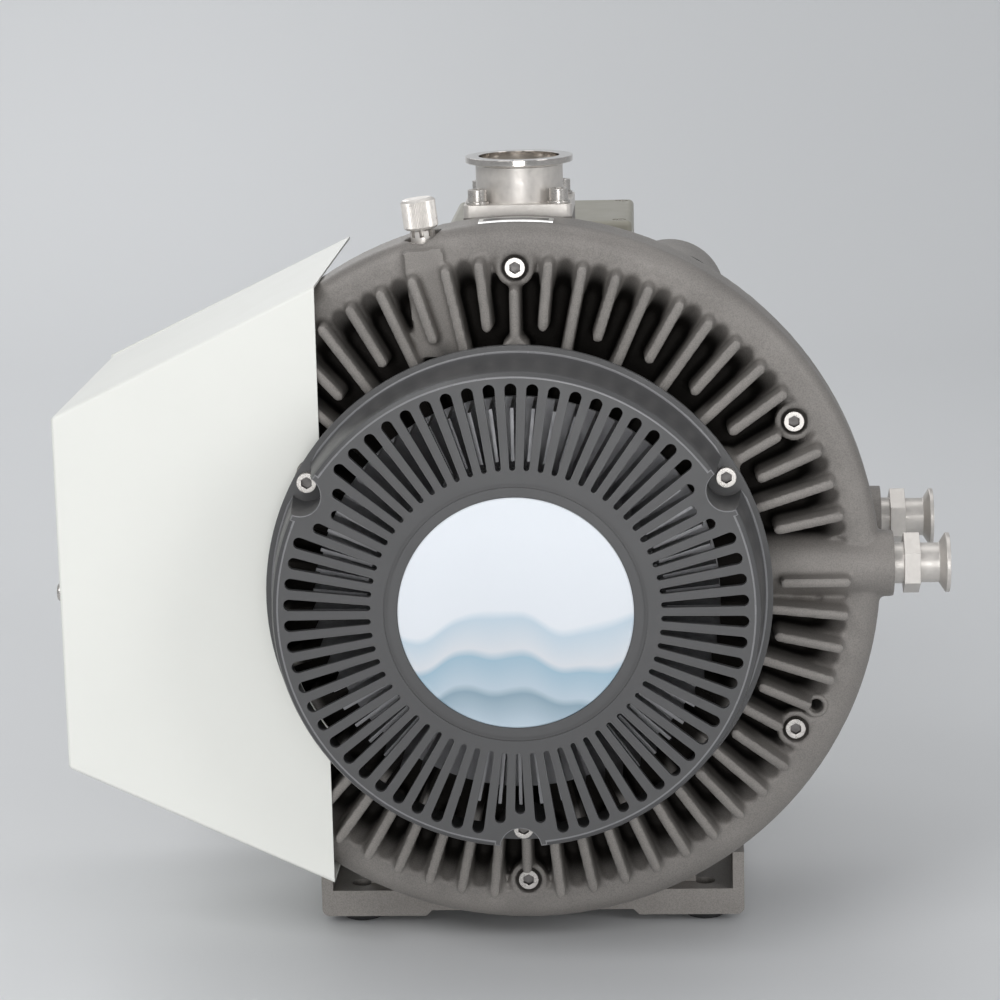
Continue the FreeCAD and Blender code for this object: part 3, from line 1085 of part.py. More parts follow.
def inlet_strainer():
    """A drilled sheet disc in the mouth of the casting's inlet bore."""
    disc = along_z(INLET_BORE_RADIUS, INLET_PLATE_Z - STRAINER, INLET_PLATE_Z, 0, INLET_Y)
    holes = []
    for ring, count in ((STRAINER_RING, 6), (2 * STRAINER_RING, 12)):
        for k in range(count):
            angle = 2 * math.pi * k / count
            holes.append(along_z(STRAINER_HOLE, INLET_PLATE_Z - STRAINER, INLET_PLATE_Z,
                                 ring * math.cos(angle), INLET_Y + ring * math.sin(angle)))
    holes.append(along_z(STRAINER_HOLE, INLET_PLATE_Z - STRAINER, INLET_PLATE_Z, 0, INLET_Y))
    return disc.cut(group(holes))


def inlet_screws():
    seat_z = INLET_PLATE_Z + INLET_PLATE + WASHER
    return group(socket_screw(Vector(x, y, seat_z), Vector(0, 0, 1), INLET_SCREW_RADIUS,
                              INLET_PLATE + WASHER + 8.0, INLET_HEAD_RADIUS, INLET_HEAD_HEIGHT)
                 for x, y in inlet_screw_places())


def inlet_washers():
    z0 = INLET_PLATE_Z + INLET_PLATE
    rings = []
    for x, y in inlet_screw_places():
        ring = along_z(WASHER_RADIUS, z0, z0 + WASHER, x, y)
        rings.append(ring.cut(along_z(INLET_SCREW_RADIUS + SEAT_GAP, z0, z0 + WASHER, x, y)))
    return group(rings)


# Exhaust fittings
def exhaust_fitting(y):
    start = EXHAUST_BOSS_END_X - EXHAUST_THREAD_LENGTH + 1.0
    hex_x = EXHAUST_BOSS_END_X + EXHAUST_NECK
    end = EXHAUST_BOSS_END_X + EXHAUST_LENGTH
    rim_x = end - SMALL_FLANGE_RIM
    profile = [
        (start, EXHAUST_BORE_RADIUS), (start, EXHAUST_THREAD_RADIUS), (hex_x + 2.0, EXHAUST_THREAD_RADIUS),
        (hex_x + 2.0, SMALL_TUBE_RADIUS), (rim_x - SMALL_FLANGE_TAPER, SMALL_TUBE_RADIUS),
        (rim_x, SMALL_FLANGE_RADIUS), (end, SMALL_FLANGE_RADIUS), (end, SMALL_RECESS_RADIUS),
        (end - 4.0, SMALL_RECESS_RADIUS), (end - 4.0, EXHAUST_BORE_RADIUS),
    ]
    points = [Vector(x, y + radius, EXHAUST_Z) for x, radius in profile]
    half_section = Part.Face(Part.makePolygon(points + points[:1]))
    tube = half_section.revolve(Vector(0, y, EXHAUST_Z), Vector(1, 0, 0), 360)
    nut = regular(EXHAUST_HEX_FLATS / 2, 6, Vector(hex_x, y, EXHAUST_Z), Vector(1, 0, 0))
    nut = nut.extrude(Vector(EXHAUST_HEX_LENGTH, 0, 0))
    nut = nut.cut(along_x(EXHAUST_BORE_RADIUS, hex_x, hex_x + EXHAUST_HEX_LENGTH, y, EXHAUST_Z))
    return tube.fuse(nut)


# Gas-ballast valve
def ballast_body():
    """The valve's sleeve, pressed into the boss, with air slots around its collar."""
    top = BALLAST_BODY_TOP_Z
    seat_z = BALLAST_BOSS_TOP_Z
    body = turned_up([
        (seat_z - 14.0, BALLAST_STEM_RADIUS + 0.4), (seat_z - 14.0, BALLAST_BORE_RADIUS),
        (seat_z, BALLAST_BORE_RADIUS), (seat_z, BALLAST_COLLAR_RADIUS + 1.4),
        (seat_z + 2.5, BALLAST_COLLAR_RADIUS + 1.4), (seat_z + 2.5, BALLAST_COLLAR_RADIUS),
        (top, BALLAST_COLLAR_RADIUS), (top, BALLAST_KNOB_BORE + RUNNING_GAP),
        (top - 5.0, BALLAST_KNOB_BORE + RUNNING_GAP), (top - 5.0, BALLAST_STEM_RADIUS + 0.4),
    ], BALLAST_X, BALLAST_Y)
    slots = []
    for k in range(BALLAST_COLLAR_SLOTS // 2):
        reach = BALLAST_COLLAR_RADIUS + 1.0
        slot = block(BALLAST_X - reach, BALLAST_X + reach, BALLAST_Y - BALLAST_COLLAR_SLOT / 2,
                     BALLAST_Y + BALLAST_COLLAR_SLOT / 2, top - BALLAST_COLLAR_SLOT_HEIGHT, top)
        slot.rotate(Vector(BALLAST_X, BALLAST_Y, 0), Vector(0, 0, 1), 360.0 * k / BALLAST_COLLAR_SLOTS)
        slots.append(slot)
    return leaned(body.cut(joined(slots)))


def ballast_knob():
    """The knurled knob: it turns in the collar and its inner thread lifts the plug."""
    base = BALLAST_BODY_TOP_Z + SEAT_GAP
    top = base + BALLAST_KNOB_HEIGHT
    knob = turned_up([
        (base - 4.0, BALLAST_STEM_RADIUS + RUNNING_GAP), (base - 4.0, BALLAST_KNOB_BORE),
        (base, BALLAST_KNOB_BORE), (base, BALLAST_KNOB_RADIUS - 1.0), (base + 1.0, BALLAST_KNOB_RADIUS),
        (top - 1.2, BALLAST_KNOB_RADIUS), (top, BALLAST_KNOB_RADIUS - 1.6), (top + 0.6, 0),
        (top - 4.0, 0), (top - 4.0, BALLAST_STEM_RADIUS + RUNNING_GAP),
    ], BALLAST_X, BALLAST_Y)
    grooves = []
    for k in range(BALLAST_KNURLS):
        angle = 2 * math.pi * k / BALLAST_KNURLS
        x = BALLAST_X + BALLAST_KNOB_RADIUS * math.cos(angle)
        y = BALLAST_Y + BALLAST_KNOB_RADIUS * math.sin(angle)
        grooves.append(along_z(BALLAST_KNURL, base, top - 1.2, x, y))
    return leaned(knob.cut(group(grooves)))


def ballast_plug():
    """The stem and its soft seat, which closes the air way at the bottom of the bore."""
    floor = BALLAST_BOSS_BOTTOM_Z + BALLAST_BORE_FLOOR
    top = BALLAST_BODY_TOP_Z + BALLAST_KNOB_HEIGHT - 4.0 - 2 * BALLAST_LIFT
    return leaned(turned_up([
        (floor, 0), (floor, BALLAST_BORE_RADIUS - 1.2), (floor + 2.0, BALLAST_BORE_RADIUS - SEAT_GAP),
        (floor + 8.0, BALLAST_BORE_RADIUS - SEAT_GAP), (floor + 8.0, BALLAST_STEM_RADIUS),
        (top, BALLAST_STEM_RADIUS), (top, 0),
    ], BALLAST_X, BALLAST_Y))


# Side cover
def side_profile(inset):
    """The cover's outline from the front, open on its inner side; inset steps the sheet inwards."""
    return [
        (SIDE_INNER_X, SIDE_TOP_INNER_Z - inset * SIDE_SLOPE_GROWTH),
        (SIDE_OUTER_X + inset, SIDE_TOP_OUTER_Z - inset * SIDE_SLOPE_GROWTH + inset * SIDE_SLOPE),
        (SIDE_OUTER_X + inset, SIDE_BOTTOM_OUTER_Z + inset * SIDE_SLOPE_GROWTH - inset * SIDE_SLOPE),
        (SIDE_INNER_X, SIDE_BOTTOM_INNER_Z + inset * SIDE_SLOPE_GROWTH),
    ]


def side_prism(inset, y0, y1):
    points = [Vector(x, y0, z) for x, z in side_profile(inset)]
    return Part.Face(Part.makePolygon(points + points[:1])).extrude(Vector(0, y1 - y0, 0))


def side_cover():
    """Folded sheet, open inwards and at the back, with its front panel cut out around the fan."""
    outer = side_prism(0.0, SIDE_FRONT_Y, SIDE_BACK_Y)
    inner = side_prism(SIDE_SHEET, SIDE_FRONT_Y + SIDE_SHEET, SIDE_BACK_Y)
    body = outer.cut(inner)
    holes = [along_x(SIDE_SCREW_RADIUS + SEAT_GAP, SIDE_OUTER_X, SIDE_OUTER_X + SIDE_SHEET, y, SIDE_SCREW_Z)
             for y in side_screw_places()]
    holes.append(along_y(COVER_RIM_RADIUS, SIDE_FRONT_Y, FIN_TOP_Y))
    for angle in COVER_SCREW_ANGLES:
        x, z = on_circle(COVER_SCREW_PCD, angle)
        holes.append(along_y(POST_RADIUS + SIDE_POST_GAP, SIDE_FRONT_Y, FIN_TOP_Y, x, z))
    return body.cut(joined(holes))


def side_screw_places():
    """The Y of the two screws in the cover's outer side."""
    return (SIDE_FRONT_Y + SIDE_SCREW_FRONT, SIDE_BACK_Y - SIDE_SCREW_BACK)


def side_bracket():
    """A rail behind the cover's outer side, with an arm back to a tab rolled to the rim's curve."""
    low_z = SIDE_SCREW_Z - BRACKET_WIDTH / 2
    high_z = SIDE_SCREW_Z + BRACKET_WIDTH / 2
    rail_x = SIDE_OUTER_X + SIDE_SHEET
    rail = block(rail_x, rail_x + BRACKET_SHEET, SIDE_FRONT_Y + SIDE_SHEET, SIDE_BACK_Y - BRACKET_SHEET,
                 low_z, high_z)
    arm = block(rail_x, -FIN_OUTER, BRACKET_FRONT_Y, BRACKET_BACK_Y, low_z, low_z + BRACKET_SHEET)
    tab = along_y(RIM_RADIUS + BRACKET_SHEET, BRACKET_FRONT_Y, BRACKET_BACK_Y)
    tab = tab.common(block(rail_x, -FIN_OUTER, BRACKET_FRONT_Y, BRACKET_BACK_Y, low_z, high_z))
    bracket = joined([rail, arm, tab]).cut(along_y(RIM_RADIUS, BRACKET_FRONT_Y, BRACKET_BACK_Y))
    holes = [along_x(SIDE_SCREW_RADIUS, rail_x, rail_x + BRACKET_SHEET, y, SIDE_SCREW_Z)
             for y in side_screw_places()]
    for y in BRACKET_SCREW_YS:
        hole = along_x(SIDE_SCREW_RADIUS + SEAT_GAP, RIM_RADIUS - 1.0, RIM_RADIUS + BRACKET_SHEET + 1.0, y, 0)
        holes.append(at_angle(hole, BRACKET_ANGLE))
    return bracket.cut(joined(holes))


def pan_screw(seat_x, grip, y):
    """A pan-head screw along +X from its seat, with its head towards +X."""
    head = along_x(SIDE_HEAD_RADIUS, seat_x, seat_x + SIDE_HEAD_HEIGHT, y, 0)
    rounded = [e for e in head.Edges if e.CenterOfMass.x > seat_x + SIDE_HEAD_HEIGHT - 0.1]
    shank = along_x(SIDE_SCREW_RADIUS, seat_x - grip, seat_x, y, 0)
    return head.makeFillet(SIDE_HEAD_HEIGHT * 0.6, rounded).fuse(shank)


def side_cover_screws():
    """Two screws through the cover into the rail, and two through the bracket's tab into the rim."""
    screws = []
    for y in side_screw_places():
        screw = at_angle(pan_screw(-SIDE_OUTER_X, SIDE_SCREW_LENGTH, y), 180.0)
        screw.translate(Vector(0, 0, SIDE_SCREW_Z))
        screws.append(screw)
    for y in BRACKET_SCREW_YS:
        tab_outside = RIM_RADIUS + BRACKET_SHEET
        screws.append(at_angle(pan_screw(tab_outside, SIDE_SCREW_LENGTH, y), BRACKET_ANGLE))
    return group(screws)


# Base and feet
def base():
    half = BASE_HALF_WIDTH
    wall = BASE_WALL
    arch_z = BASE_BOTTOM_Z + BASE_ARCH
    arch_flat = BASE_ARCH_HALF - BASE_ARCH
    low_z = BASE_BOTTOM_Z + BASE_WALL_LOW
    high_z = BASE_WALL_TOP_Z
    section = [
        (-half, BASE_BOTTOM_Z), (-BASE_ARCH_HALF, BASE_BOTTOM_Z), (-arch_flat, arch_z), (arch_flat, arch_z),
        (BASE_ARCH_HALF, BASE_BOTTOM_Z), (half, BASE_BOTTOM_Z), (half, high_z), (half - wall, high_z),
        (half - wall, BASE_TOP_Z), (-half + wall, BASE_TOP_Z), (-half + wall, high_z), (-half, high_z),
    ]
    points = [Vector(x, BASE_FRONT_Y, z) for x, z in section]
    length = BASE_BACK_Y - BASE_FRONT_Y
    channel = Part.Face(Part.makePolygon(points + points[:1])).extrude(Vector(0, length, 0))
    step_y = REAR_PLATE_BACK_Y + REAR_FIN_HEIGHT
    lowered = [Vector(-half, step_y, high_z), Vector(-half, step_y + BASE_WALL_RAMP, low_z),
               Vector(-half, BASE_BACK_Y, low_z), Vector(-half, BASE_BACK_Y, high_z)]
    slope = Part.Face(Part.makePolygon(lowered + lowered[:1])).extrude(Vector(2 * half, 0, 0))
    body = channel.cut(slope)
    edges = [e for e in body.Edges
             if abs(abs(e.CenterOfMass.x) - half) < 0.1 and abs(e.CenterOfMass.z - BASE_BOTTOM_Z) < 0.1]
    body = body.makeFillet(BASE_EDGE_ROUND, edges)
    back_wall = block(-half + wall, half - wall, BASE_BACK_Y - wall, BASE_BACK_Y, BASE_TOP_Z, low_z)
    cuts = [along_z(BASE_BOLT_RADIUS, BASE_BOTTOM_Z, BASE_TOP_Z, x, y)
            for x in BASE_HOLE_XS for y in BASE_HOLE_YS]
    for x, y in saddle_screw_places():
        cuts.append(along_z(SADDLE_SCREW_RADIUS + SEAT_GAP, BASE_BOTTOM_Z, BASE_TOP_Z, x, y))
        cuts.append(along_z(SADDLE_HEAD_RADIUS + 1.0, BASE_BOTTOM_Z, BASE_BOTTOM_Z + SADDLE_HEAD + 1.0, x, y))
    for x, y in foot_screw_places():
        cuts.append(along_z(SADDLE_SCREW_RADIUS, BASE_BOTTOM_Z + BASE_ARCH, BASE_TOP_Z, x, y))
    return body.fuse(back_wall).cut(joined(cuts))


def saddle_screws():
    """Socket screws from under the base into the casing's two pads."""
    seat_z = BASE_BOTTOM_Z + SADDLE_HEAD + 1.0
    return group(socket_screw(Vector(x, y, seat_z), Vector(0, 0, -1), SADDLE_SCREW_RADIUS,
                              BASE_TOP_Z - seat_z + 10.0, SADDLE_HEAD_RADIUS, SADDLE_HEAD)
                 for x, y in saddle_screw_places())


def rubber_feet():
    rings = []
    for x in BASE_HOLE_XS:
        for y in BASE_HOLE_YS:
            ring = turned_up([
                (-AXIS_HEIGHT, BASE_BOLT_RADIUS), (-AXIS_HEIGHT, FOOT_TIP_RADIUS),
                (BASE_BOTTOM_Z - FOOT_EDGE, FOOT_RADIUS), (BASE_BOTTOM_Z, FOOT_RADIUS),
                (BASE_BOTTOM_Z, BASE_BOLT_RADIUS),
            ], x, y)
            rings.append(ring)
    return group(rings)


# Motor
def adapter():
    """The closed bell between the pump and the motor, which holds the coupling."""
    flange_back = HUB_BACK_Y + ADAPTER_FLANGE
    motor_flange_y = ADAPTER_BACK_Y - ADAPTER_FLANGE
    body = turned([
        (HUB_BACK_Y, ADAPTER_RADIUS - ADAPTER_WALL), (HUB_BACK_Y, REAR_HUB_RADIUS),
        (flange_back, REAR_HUB_RADIUS), (flange_back, ADAPTER_RADIUS), (motor_flange_y, ADAPTER_RADIUS + 4.0),
        (motor_flange_y, MOTOR_FLANGE_RADIUS), (ADAPTER_BACK_Y, MOTOR_FLANGE_RADIUS),
        (ADAPTER_BACK_Y, ADAPTER_RADIUS - ADAPTER_WALL),
    ])
    cuts = []
    for angle in ADAPTER_SCREW_ANGLES:
        x, z = on_circle(ADAPTER_SCREW_PCD, angle)
        cuts.append(along_y(ADAPTER_SCREW_RADIUS + SEAT_GAP, HUB_BACK_Y, flange_back, x, z))
        x, z = on_circle(MOTOR_SCREW_PCD, angle)
        cuts.append(along_y(ADAPTER_SCREW_RADIUS + SEAT_GAP, motor_flange_y, ADAPTER_BACK_Y, x, z))
    return body.cut(joined(cuts))


def adapter_screws():
    """The screws that hold the bell to the pump, and the motor to the bell."""
    screws = []
    for angle in ADAPTER_SCREW_ANGLES:
        x, z = on_circle(ADAPTER_SCREW_PCD, angle)
        screws.append(socket_screw(Vector(x, HUB_BACK_Y + ADAPTER_FLANGE, z), Vector(0, 1, 0),
                                   ADAPTER_SCREW_RADIUS, ADAPTER_FLANGE + 12.0, ADAPTER_HEAD_RADIUS, 8.0))
        x, z = on_circle(MOTOR_SCREW_PCD, angle)
        screws.append(socket_screw(Vector(x, ADAPTER_BACK_Y - ADAPTER_FLANGE, z), Vector(0, -1, 0),
                                   ADAPTER_SCREW_RADIUS, ADAPTER_FLANGE + 10.0, ADAPTER_HEAD_RADIUS, 8.0))
    return group(screws)


def motor_front_shield():
    spigot = MOTOR_RADIUS - MOTOR_WALL - SEAT_GAP
    spigot_y = FRAME_FRONT_Y + SPIGOT_LENGTH
    housing = MOTOR_BEARING_RADIUS + BEARING_HOUSING_WALL
    flange_back = ADAPTER_BACK_Y + SHIELD_FLANGE
    body = turned([
        (ADAPTER_BACK_Y, 0), (ADAPTER_BACK_Y, MOTOR_FLANGE_RADIUS), (flange_back, MOTOR_FLANGE_RADIUS),
        (FRAME_FRONT_Y, MOTOR_RADIUS), (FRAME_FRONT_Y, spigot), (spigot_y, spigot), (spigot_y, housing),
        (FRAME_FRONT_Y, housing), (FRAME_FRONT_Y, 0),
    ])
    cuts = [along_y(MOTOR_BEARING_RADIUS, FRAME_FRONT_Y - MOTOR_BEARING_WIDTH + 4.0, spigot_y),
            along_y(MOTOR_SHAFT_RADIUS + 1.5, ADAPTER_BACK_Y, FRAME_FRONT_Y)]
    for angle in ADAPTER_SCREW_ANGLES:
        x, z = on_circle(MOTOR_SCREW_PCD, angle)
        cuts.append(along_y(ADAPTER_SCREW_RADIUS, ADAPTER_BACK_Y, ADAPTER_BACK_Y + 12.0, x, z))
    return body.cut(joined(cuts))


def motor_rear_shield():
    spigot = MOTOR_RADIUS - MOTOR_WALL - SEAT_GAP
    spigot_y = FRAME_BACK_Y - SPIGOT_LENGTH
    housing = MOTOR_BEARING_RADIUS + BEARING_HOUSING_WALL
    body = turned([
        (FRAME_BACK_Y, 0), (FRAME_BACK_Y, housing), (spigot_y, housing), (spigot_y, spigot),
        (FRAME_BACK_Y, spigot), (FRAME_BACK_Y, MOTOR_RADIUS), (FRAME_BACK_Y + 4.0, MOTOR_RADIUS - 2.0),
        (REAR_SHIELD_BACK_Y - 4.0, housing + 2.0), (REAR_SHIELD_BACK_Y, housing), (REAR_SHIELD_BACK_Y, 0),
    ])
    cuts = [along_y(MOTOR_BEARING_RADIUS, spigot_y, FRAME_BACK_Y + MOTOR_BEARING_WIDTH - 4.0),
            along_y(MOTOR_SHAFT_RADIUS + 1.5, FRAME_BACK_Y, REAR_SHIELD_BACK_Y)]
    return body.cut(joined(cuts))


def motor_bearings():
    front = bearing(FRAME_FRONT_Y - MOTOR_BEARING_WIDTH + 4.0, MOTOR_BEARING_WIDTH, MOTOR_SHAFT_RADIUS,
                    MOTOR_BEARING_RADIUS)
    rear = bearing(FRAME_BACK_Y - 4.0, MOTOR_BEARING_WIDTH, MOTOR_SHAFT_RADIUS, MOTOR_BEARING_RADIUS)
    return group([front, rear])


def motor_frame():
    """The finned motor body; the fins leave out the terminal box seat on top and the foot below."""
    tube = along_y(MOTOR_RADIUS, FRAME_FRONT_Y, FRAME_BACK_Y)
    added = [tube]
    fin = block(MOTOR_RADIUS - 1.0, MOTOR_RADIUS + MOTOR_FIN_HEIGHT, FRAME_FRONT_Y + 2.0, FRAME_BACK_Y,
                -MOTOR_FIN_WALL / 2, MOTOR_FIN_WALL / 2)
    for k in range(MOTOR_FIN_COUNT):
        angle = 360.0 * (k + 0.5) / MOTOR_FIN_COUNT
        from_up = abs((angle - 90.0 + 180.0) % 360.0 - 180.0)
        if MOTOR_BARE_ANGLE < from_up < 180.0 - MOTOR_BARE_ANGLE:
            added.append(at_angle(fin, angle))
    seat_half = (TERMINAL_RIGHT_X - TERMINAL_LEFT_X) / 2 - 8.0
    middle = (TERMINAL_RIGHT_X + TERMINAL_LEFT_X) / 2
    added.append(block(middle - seat_half, middle + seat_half, TERMINAL_FRONT_Y + 6.0, TERMINAL_BACK_Y - 6.0,
                       MOTOR_RADIUS * 0.6, TERMINAL_SEAT_Z))
    body = joined(added)
    hollow = along_y(MOTOR_RADIUS - MOTOR_WALL, FRAME_FRONT_Y, FRAME_BACK_Y)
    middle_y = (TERMINAL_FRONT_Y + TERMINAL_BACK_Y) / 2
    wire_way = along_z(WIRE_WAY_RADIUS, MOTOR_RADIUS * 0.6, TERMINAL_SEAT_Z, middle, middle_y)
    return body.cut(hollow).cut(wire_way)


def motor_stator():
    y0 = (FRAME_FRONT_Y + FRAME_BACK_Y - MOTOR_STACK) / 2
    core = along_y(MOTOR_RADIUS - MOTOR_WALL, y0, y0 + MOTOR_STACK)
    windings = along_y(MOTOR_RADIUS - MOTOR_WALL - 8.0, y0 - 16.0, y0 + MOTOR_STACK + 16.0)
    return core.fuse(windings).cut(along_y(MOTOR_STATOR_INNER, y0 - 16.0, y0 + MOTOR_STACK + 16.0))


def motor_rotor():
    y0 = (FRAME_FRONT_Y + FRAME_BACK_Y - MOTOR_STACK) / 2
    rotor = along_y(MOTOR_ROTOR_RADIUS, y0, y0 + MOTOR_STACK)
    for y in (y0 - 8.0, y0 + MOTOR_STACK):
        rotor = rotor.fuse(along_y(MOTOR_ROTOR_RADIUS - 4.0, y, y + 8.0))
    return rotor.cut(along_y(MOTOR_SHAFT_RADIUS, y0 - 8.0, y0 + MOTOR_STACK + 8.0))


def motor_shaft():
    front = COUPLING_MIDDLE_Y + COUPLING_SPIDER / 2 + 1.0
    return along_y(MOTOR_SHAFT_RADIUS, front, COWL_BACK_Y - 16.0)


def motor_fan():
    y0 = REAR_SHIELD_BACK_Y + 4.0
    y1 = COWL_BACK_Y - 14.0
    hub = along_y(MOTOR_SHAFT_RADIUS + 8.0, y0, y1)
    plate = along_y(MOTOR_FAN_RADIUS, y0, y0 + 2.5)
    blade = block(MOTOR_SHAFT_RADIUS + 4.0, MOTOR_FAN_RADIUS, y0 + 1.0, y1, -1.2, 1.2)
    blades = [at_angle(blade, 360.0 * k / MOTOR_FAN_BLADES) for k in range(MOTOR_FAN_BLADES)]
    return joined([hub, plate] + blades).cut(along_y(MOTOR_SHAFT_RADIUS, y0, y1))


def fan_cowl():
    """The motor's rear cowl: a pressed cup over the ends of the fins, with radial slots behind."""
    inner = COWL_RADIUS - COWL_WALL
    body = turned([
        (COWL_FRONT_Y, inner), (COWL_FRONT_Y, COWL_RADIUS), (COWL_BACK_Y - 8.0, COWL_RADIUS),
        (COWL_BACK_Y - 2.4, COWL_RADIUS - 2.4), (COWL_BACK_Y, COWL_RADIUS - 8.0), (COWL_BACK_Y, 0),
        (COWL_BACK_Y - COWL_WALL, 0), (COWL_BACK_Y - COWL_WALL, inner - 7.0),
        (COWL_BACK_Y - COWL_WALL - 6.0, inner),
    ])
    slot = stadium(COWL_SLOT_INNER, COWL_RADIUS - COWL_SLOT_INSET, *COWL_SLOT_WIDTHS,
                   COWL_BACK_Y - COWL_WALL - 1.0)
    slot = prism(slot, COWL_WALL + 2.0)
    slots = [at_angle(slot, 360.0 * k / COWL_SLOT_COUNT) for k in range(COWL_SLOT_COUNT)]
    return body.cut(group(slots))


def motor_foot():
    """A cast saddle that carries the motor on the base."""
    x = FOOT_HALF_WIDTH
    web_x = x - FOOT_FLANGE_WIDTH
    top_x = web_x - FOOT_WEB_LEAN
    flange_z = BASE_TOP_Z + FOOT_FLANGE
    saddle_z = -MOTOR_RADIUS * 0.6
    sides = [Vector(-x, FOOT_FRONT_Y, BASE_TOP_Z), Vector(x, FOOT_FRONT_Y, BASE_TOP_Z),
             Vector(x, FOOT_FRONT_Y, flange_z), Vector(web_x, FOOT_FRONT_Y, flange_z),
             Vector(top_x, FOOT_FRONT_Y, saddle_z), Vector(-top_x, FOOT_FRONT_Y, saddle_z),
             Vector(-web_x, FOOT_FRONT_Y, flange_z), Vector(-x, FOOT_FRONT_Y, flange_z)]
    body = Part.Face(Part.makePolygon(sides + sides[:1])).extrude(Vector(0, FOOT_BACK_Y - FOOT_FRONT_Y, 0))
    window = along_y(FOOT_WINDOW, FOOT_FRONT_Y, FOOT_BACK_Y, 0, FOOT_WINDOW_Z)
    body = body.cut(along_y(MOTOR_RADIUS, FOOT_FRONT_Y, FOOT_BACK_Y)).cut(window)
    holes = [along_z(SADDLE_SCREW_RADIUS + SEAT_GAP, BASE_TOP_Z, flange_z, hole_x, y)
             for hole_x, y in foot_screw_places()]
    return body.cut(joined(holes))


def foot_screw_places():
    x = FOOT_HALF_WIDTH - FOOT_FLANGE_WIDTH / 2
    middle = (FOOT_FRONT_Y + FOOT_BACK_Y) / 2
    return [(sx * x, middle + sy * FOOT_SCREW_HALF) for sx in (-1, 1) for sy in (-1, 1)]


def foot_screws():
    seat_z = BASE_TOP_Z + FOOT_FLANGE
    return group(socket_screw(Vector(x, y, seat_z), Vector(0, 0, 1), SADDLE_SCREW_RADIUS, FOOT_SCREW_LENGTH,
                              SADDLE_HEAD_RADIUS, SADDLE_HEAD) for x, y in foot_screw_places())


# Terminal box on the motor
def terminal_solid(inset, z_bottom, z_top):
    return block(TERMINAL_LEFT_X + inset, TERMINAL_RIGHT_X - inset, TERMINAL_FRONT_Y + inset,
                 TERMINAL_BACK_Y - inset, z_bottom, z_top)


def terminal_box():
    lid_z = TERMINAL_TOP_Z - TERMINAL_LID
    box = terminal_solid(0.0, TERMINAL_SEAT_Z, lid_z)
    upright = [e for e in box.Edges if abs(e.Vertexes[0].Z - e.Vertexes[-1].Z) > 1.0]
    box = box.makeFillet(LID_ROUND, upright)
    inside = terminal_solid(TERMINAL_WALL, TERMINAL_SEAT_Z + TERMINAL_WALL, lid_z)
    box = box.cut(inside)
    middle = (TERMINAL_RIGHT_X + TERMINAL_LEFT_X) / 2
    middle_y = (TERMINAL_FRONT_Y + TERMINAL_BACK_Y) / 2
    added = [box]
    for x, y in lid_screw_places():
        added.append(along_z(LID_POST_RADIUS, TERMINAL_SEAT_Z, lid_z, x, y))
    box = joined(added)
    cuts = [along_z(WIRE_WAY_RADIUS, TERMINAL_SEAT_Z, TERMINAL_SEAT_Z + TERMINAL_WALL, middle, middle_y),
            along_x(GLAND_RADIUS, TERMINAL_RIGHT_X - TERMINAL_WALL, TERMINAL_RIGHT_X, GLAND_Y, GLAND_Z)]
    cuts += [along_z(LID_SCREW_RADIUS, lid_z - 12.0, lid_z, x, y) for x, y in lid_screw_places()]
    return box.cut(joined(cuts))


def terminal_lid():
    lid_z = TERMINAL_TOP_Z - TERMINAL_LID
    lid = terminal_solid(0.0, lid_z, TERMINAL_TOP_Z)
    edges = [e for e in lid.Edges if e.CenterOfMass.z > lid_z + 0.1]
    lid = lid.makeFillet(LID_ROUND, edges)
    lid = lid.cut(terminal_solid(TERMINAL_WALL, lid_z, TERMINAL_TOP_Z - TERMINAL_WALL))
    posts = [along_z(LID_POST_RADIUS, lid_z, TERMINAL_TOP_Z - TERMINAL_WALL, x, y)
             for x, y in lid_screw_places()]
    lid = joined([lid] + posts)
    cuts = []
    for x, y in lid_screw_places():
        cuts.append(along_z(LID_SCREW_RADIUS + SEAT_GAP, lid_z, TERMINAL_TOP_Z, x, y))
        cuts.append(along_z(LID_HEAD_RADIUS + SEAT_GAP, TERMINAL_TOP_Z - LID_HEAD, TERMINAL_TOP_Z, x, y))
    return lid.cut(joined(cuts))


def lid_screw_places():
    inset = TERMINAL_WALL + LID_POST_RADIUS - 1.0
    left = TERMINAL_LEFT_X + inset
    right = TERMINAL_RIGHT_X - inset
    return [(x, y) for x in (left, right) for y in (TERMINAL_FRONT_Y + inset, TERMINAL_BACK_Y - inset)]


def lid_screws():
    seat_z = TERMINAL_TOP_Z - LID_HEAD
    return group(socket_screw(Vector(x, y, seat_z), Vector(0, 0, 1), LID_SCREW_RADIUS,
                              TERMINAL_LID - LID_HEAD + 10.0, LID_HEAD_RADIUS, LID_HEAD - 0.4)
                 for x, y in lid_screw_places())


def terminal_block():
    """The connection block that stands on the box's floor."""
    floor = TERMINAL_SEAT_Z + TERMINAL_WALL
    body = block(-24.0, 36.0, TERMINAL_FRONT_Y + 16.0, TERMINAL_FRONT_Y + 34.0, floor, floor + 12.0)
    studs = []
    for k in range(6):
        studs.append(along_z(2.0, floor + 12.0, floor + 20.0, -19.0 + 10.0 * k, TERMINAL_FRONT_Y + 25.0))
    return joined([body] + studs)


